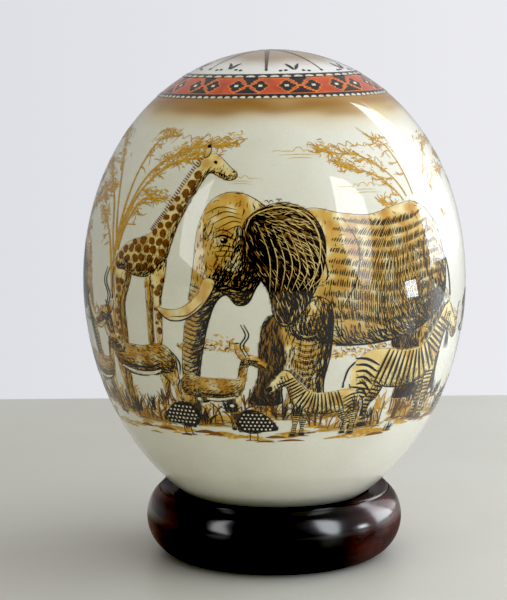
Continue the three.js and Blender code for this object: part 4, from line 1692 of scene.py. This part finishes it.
def wall_behind(nodes, where):
    """The plain pale wall that the camera sees, with painted light: a little brighter to the right.
    """
    # painted light: the wall's colour brightens towards the right
    return nodes.ramp(nodes.reach(nodes.axes(where)["X"], -0.13, 0.13),
                      [(0.0, linear((223, 224, 229))), (1.0, linear((236, 236, 241)))])


# How bright the room is on each side: a direction, and tones at shares of the way towards it.
ROOM = [
    ((0, 1, 0), [(0.30, (0.022, 0.022, 0.02)), (0.62, (0.36, 0.365, 0.37))]),
    ((1, 0, 0), [(0.35, (0.0, 0.0, 0.0)), (0.95, (0.20, 0.20, 0.20))]),
    ((0, 0, 1), [(0.50, (0.0, 0.0, 0.0)), (0.95, (0.20, 0.20, 0.20))]),
]


def room_light(nodes, where):
    """What lights the object: dim in front, paler behind, above and to the right."""
    total = None
    for way, stops in ROOM:
        dot = nodes.add("ShaderNodeVectorMath", where, operation="DOT_PRODUCT")
        dot.inputs[1].default_value = way
        part = nodes.ramp(nodes.reach(dot.outputs["Value"], -1, 1), stops)
        total = part if total is None else nodes.mix(1.0, total, part, "ADD")
    return total


def build_world():
    """The camera sees the plain wall; everything else sees the room."""
    world = bpy.data.worlds.new("pale_room")
    world.use_nodes = True
    nodes = Nodes(tree=world.node_tree)
    where = nodes.add("ShaderNodeTexCoord").outputs["Generated"]
    seen = nodes.add("ShaderNodeLightPath").outputs["Is Camera Ray"]
    colour = nodes.mix(seen, room_light(nodes, where), wall_behind(nodes, where))
    background = world.node_tree.nodes["Background"]
    nodes.link(colour, background.inputs["Color"])
    bpy.context.scene.world = world


TABLE_BACK = 0.2863  # the far edge's distance from the egg's axis
TABLE_SKEW = 0.0558  # how much farther back that edge lies for each metre to the right


def table_tone(nodes):
    """Pale laminate, with painted light: brighter towards the window's side."""
    tone = nodes.ramp(nodes.noise(9, 4), [(0.35, linear((205, 202, 192))),
                                          (0.65, linear((210, 208, 199)))])
    across = nodes.reach(nodes.axes(nodes.place())["X"], -0.06, 0.20)
    # painted light: the top brightened towards the right, where the window is
    painted_window_light = nodes.ramp(across, [(0.0, (1, 1, 1)), (1.0, (1.36, 1.37, 1.40))])
    return nodes.mix(1.0, tone, painted_window_light, "MULTIPLY")


def build_table():
    """A pale table top whose far edge passes behind the egg."""
    n = Nodes("pale_table")
    n.shade({"Base Color": table_tone(n), "Roughness": 0.38, "Specular IOR Level": 0.4})
    front, side, thick, edge = -2.2, 2.2, 0.03, 0.003
    vertices = []
    for z, inset in ((-thick, 0), (-edge, 0), (0, edge)):
        low_x, high_x, low_y = -side + inset, side - inset, front + inset
        back_left, back_right = (TABLE_BACK + TABLE_SKEW * x - inset for x in (low_x, high_x))
        vertices += [(low_x, low_y, z), (high_x, low_y, z), (high_x, back_right, z),
                     (low_x, back_left, z)]
    faces = [(8, 9, 10, 11), (3, 2, 1, 0)]
    for k in (0, 4):
        for i in range(4):
            j = (i + 1) % 4
            faces.append((k + i, k + j, k + 4 + j, k + 4 + i))
    table = new_piece("table_top", vertices, faces, n.material, body=None)
    table.data.set_sharp_from_angle(angle=math.radians(20))


# ---- build ----


BLACK_LEVEL = 0.016


def set_contrast(view):
    """Plain colours with the deepest shadows pressed to black, as a camera renders them."""
    view.view_transform = "Standard"
    view.use_curve_mapping = True
    view.curve_mapping.black_level = (BLACK_LEVEL,) * 3
    view.curve_mapping.update()


def main():
    scene = bpy.context.scene
    set_contrast(scene.view_settings)
    build_camera()
    build_world()
    build_lights()
    build_table()
    build_stand()
    figures = frieze()
    build_shell(figures)
    build_band()
    ribbons = {ink: Ribbons(70 + k, lift) for k, (ink, (_, lift)) in enumerate(INKS.items())}
    band_edges(ribbons)
    cap_marks(ribbons)
    frieze_ink(figures, ribbons)
    for ink, (colour, _) in INKS.items():
        ribbons[ink].build("ink_" + ink, ink_material("ink_" + ink, colour))


main()
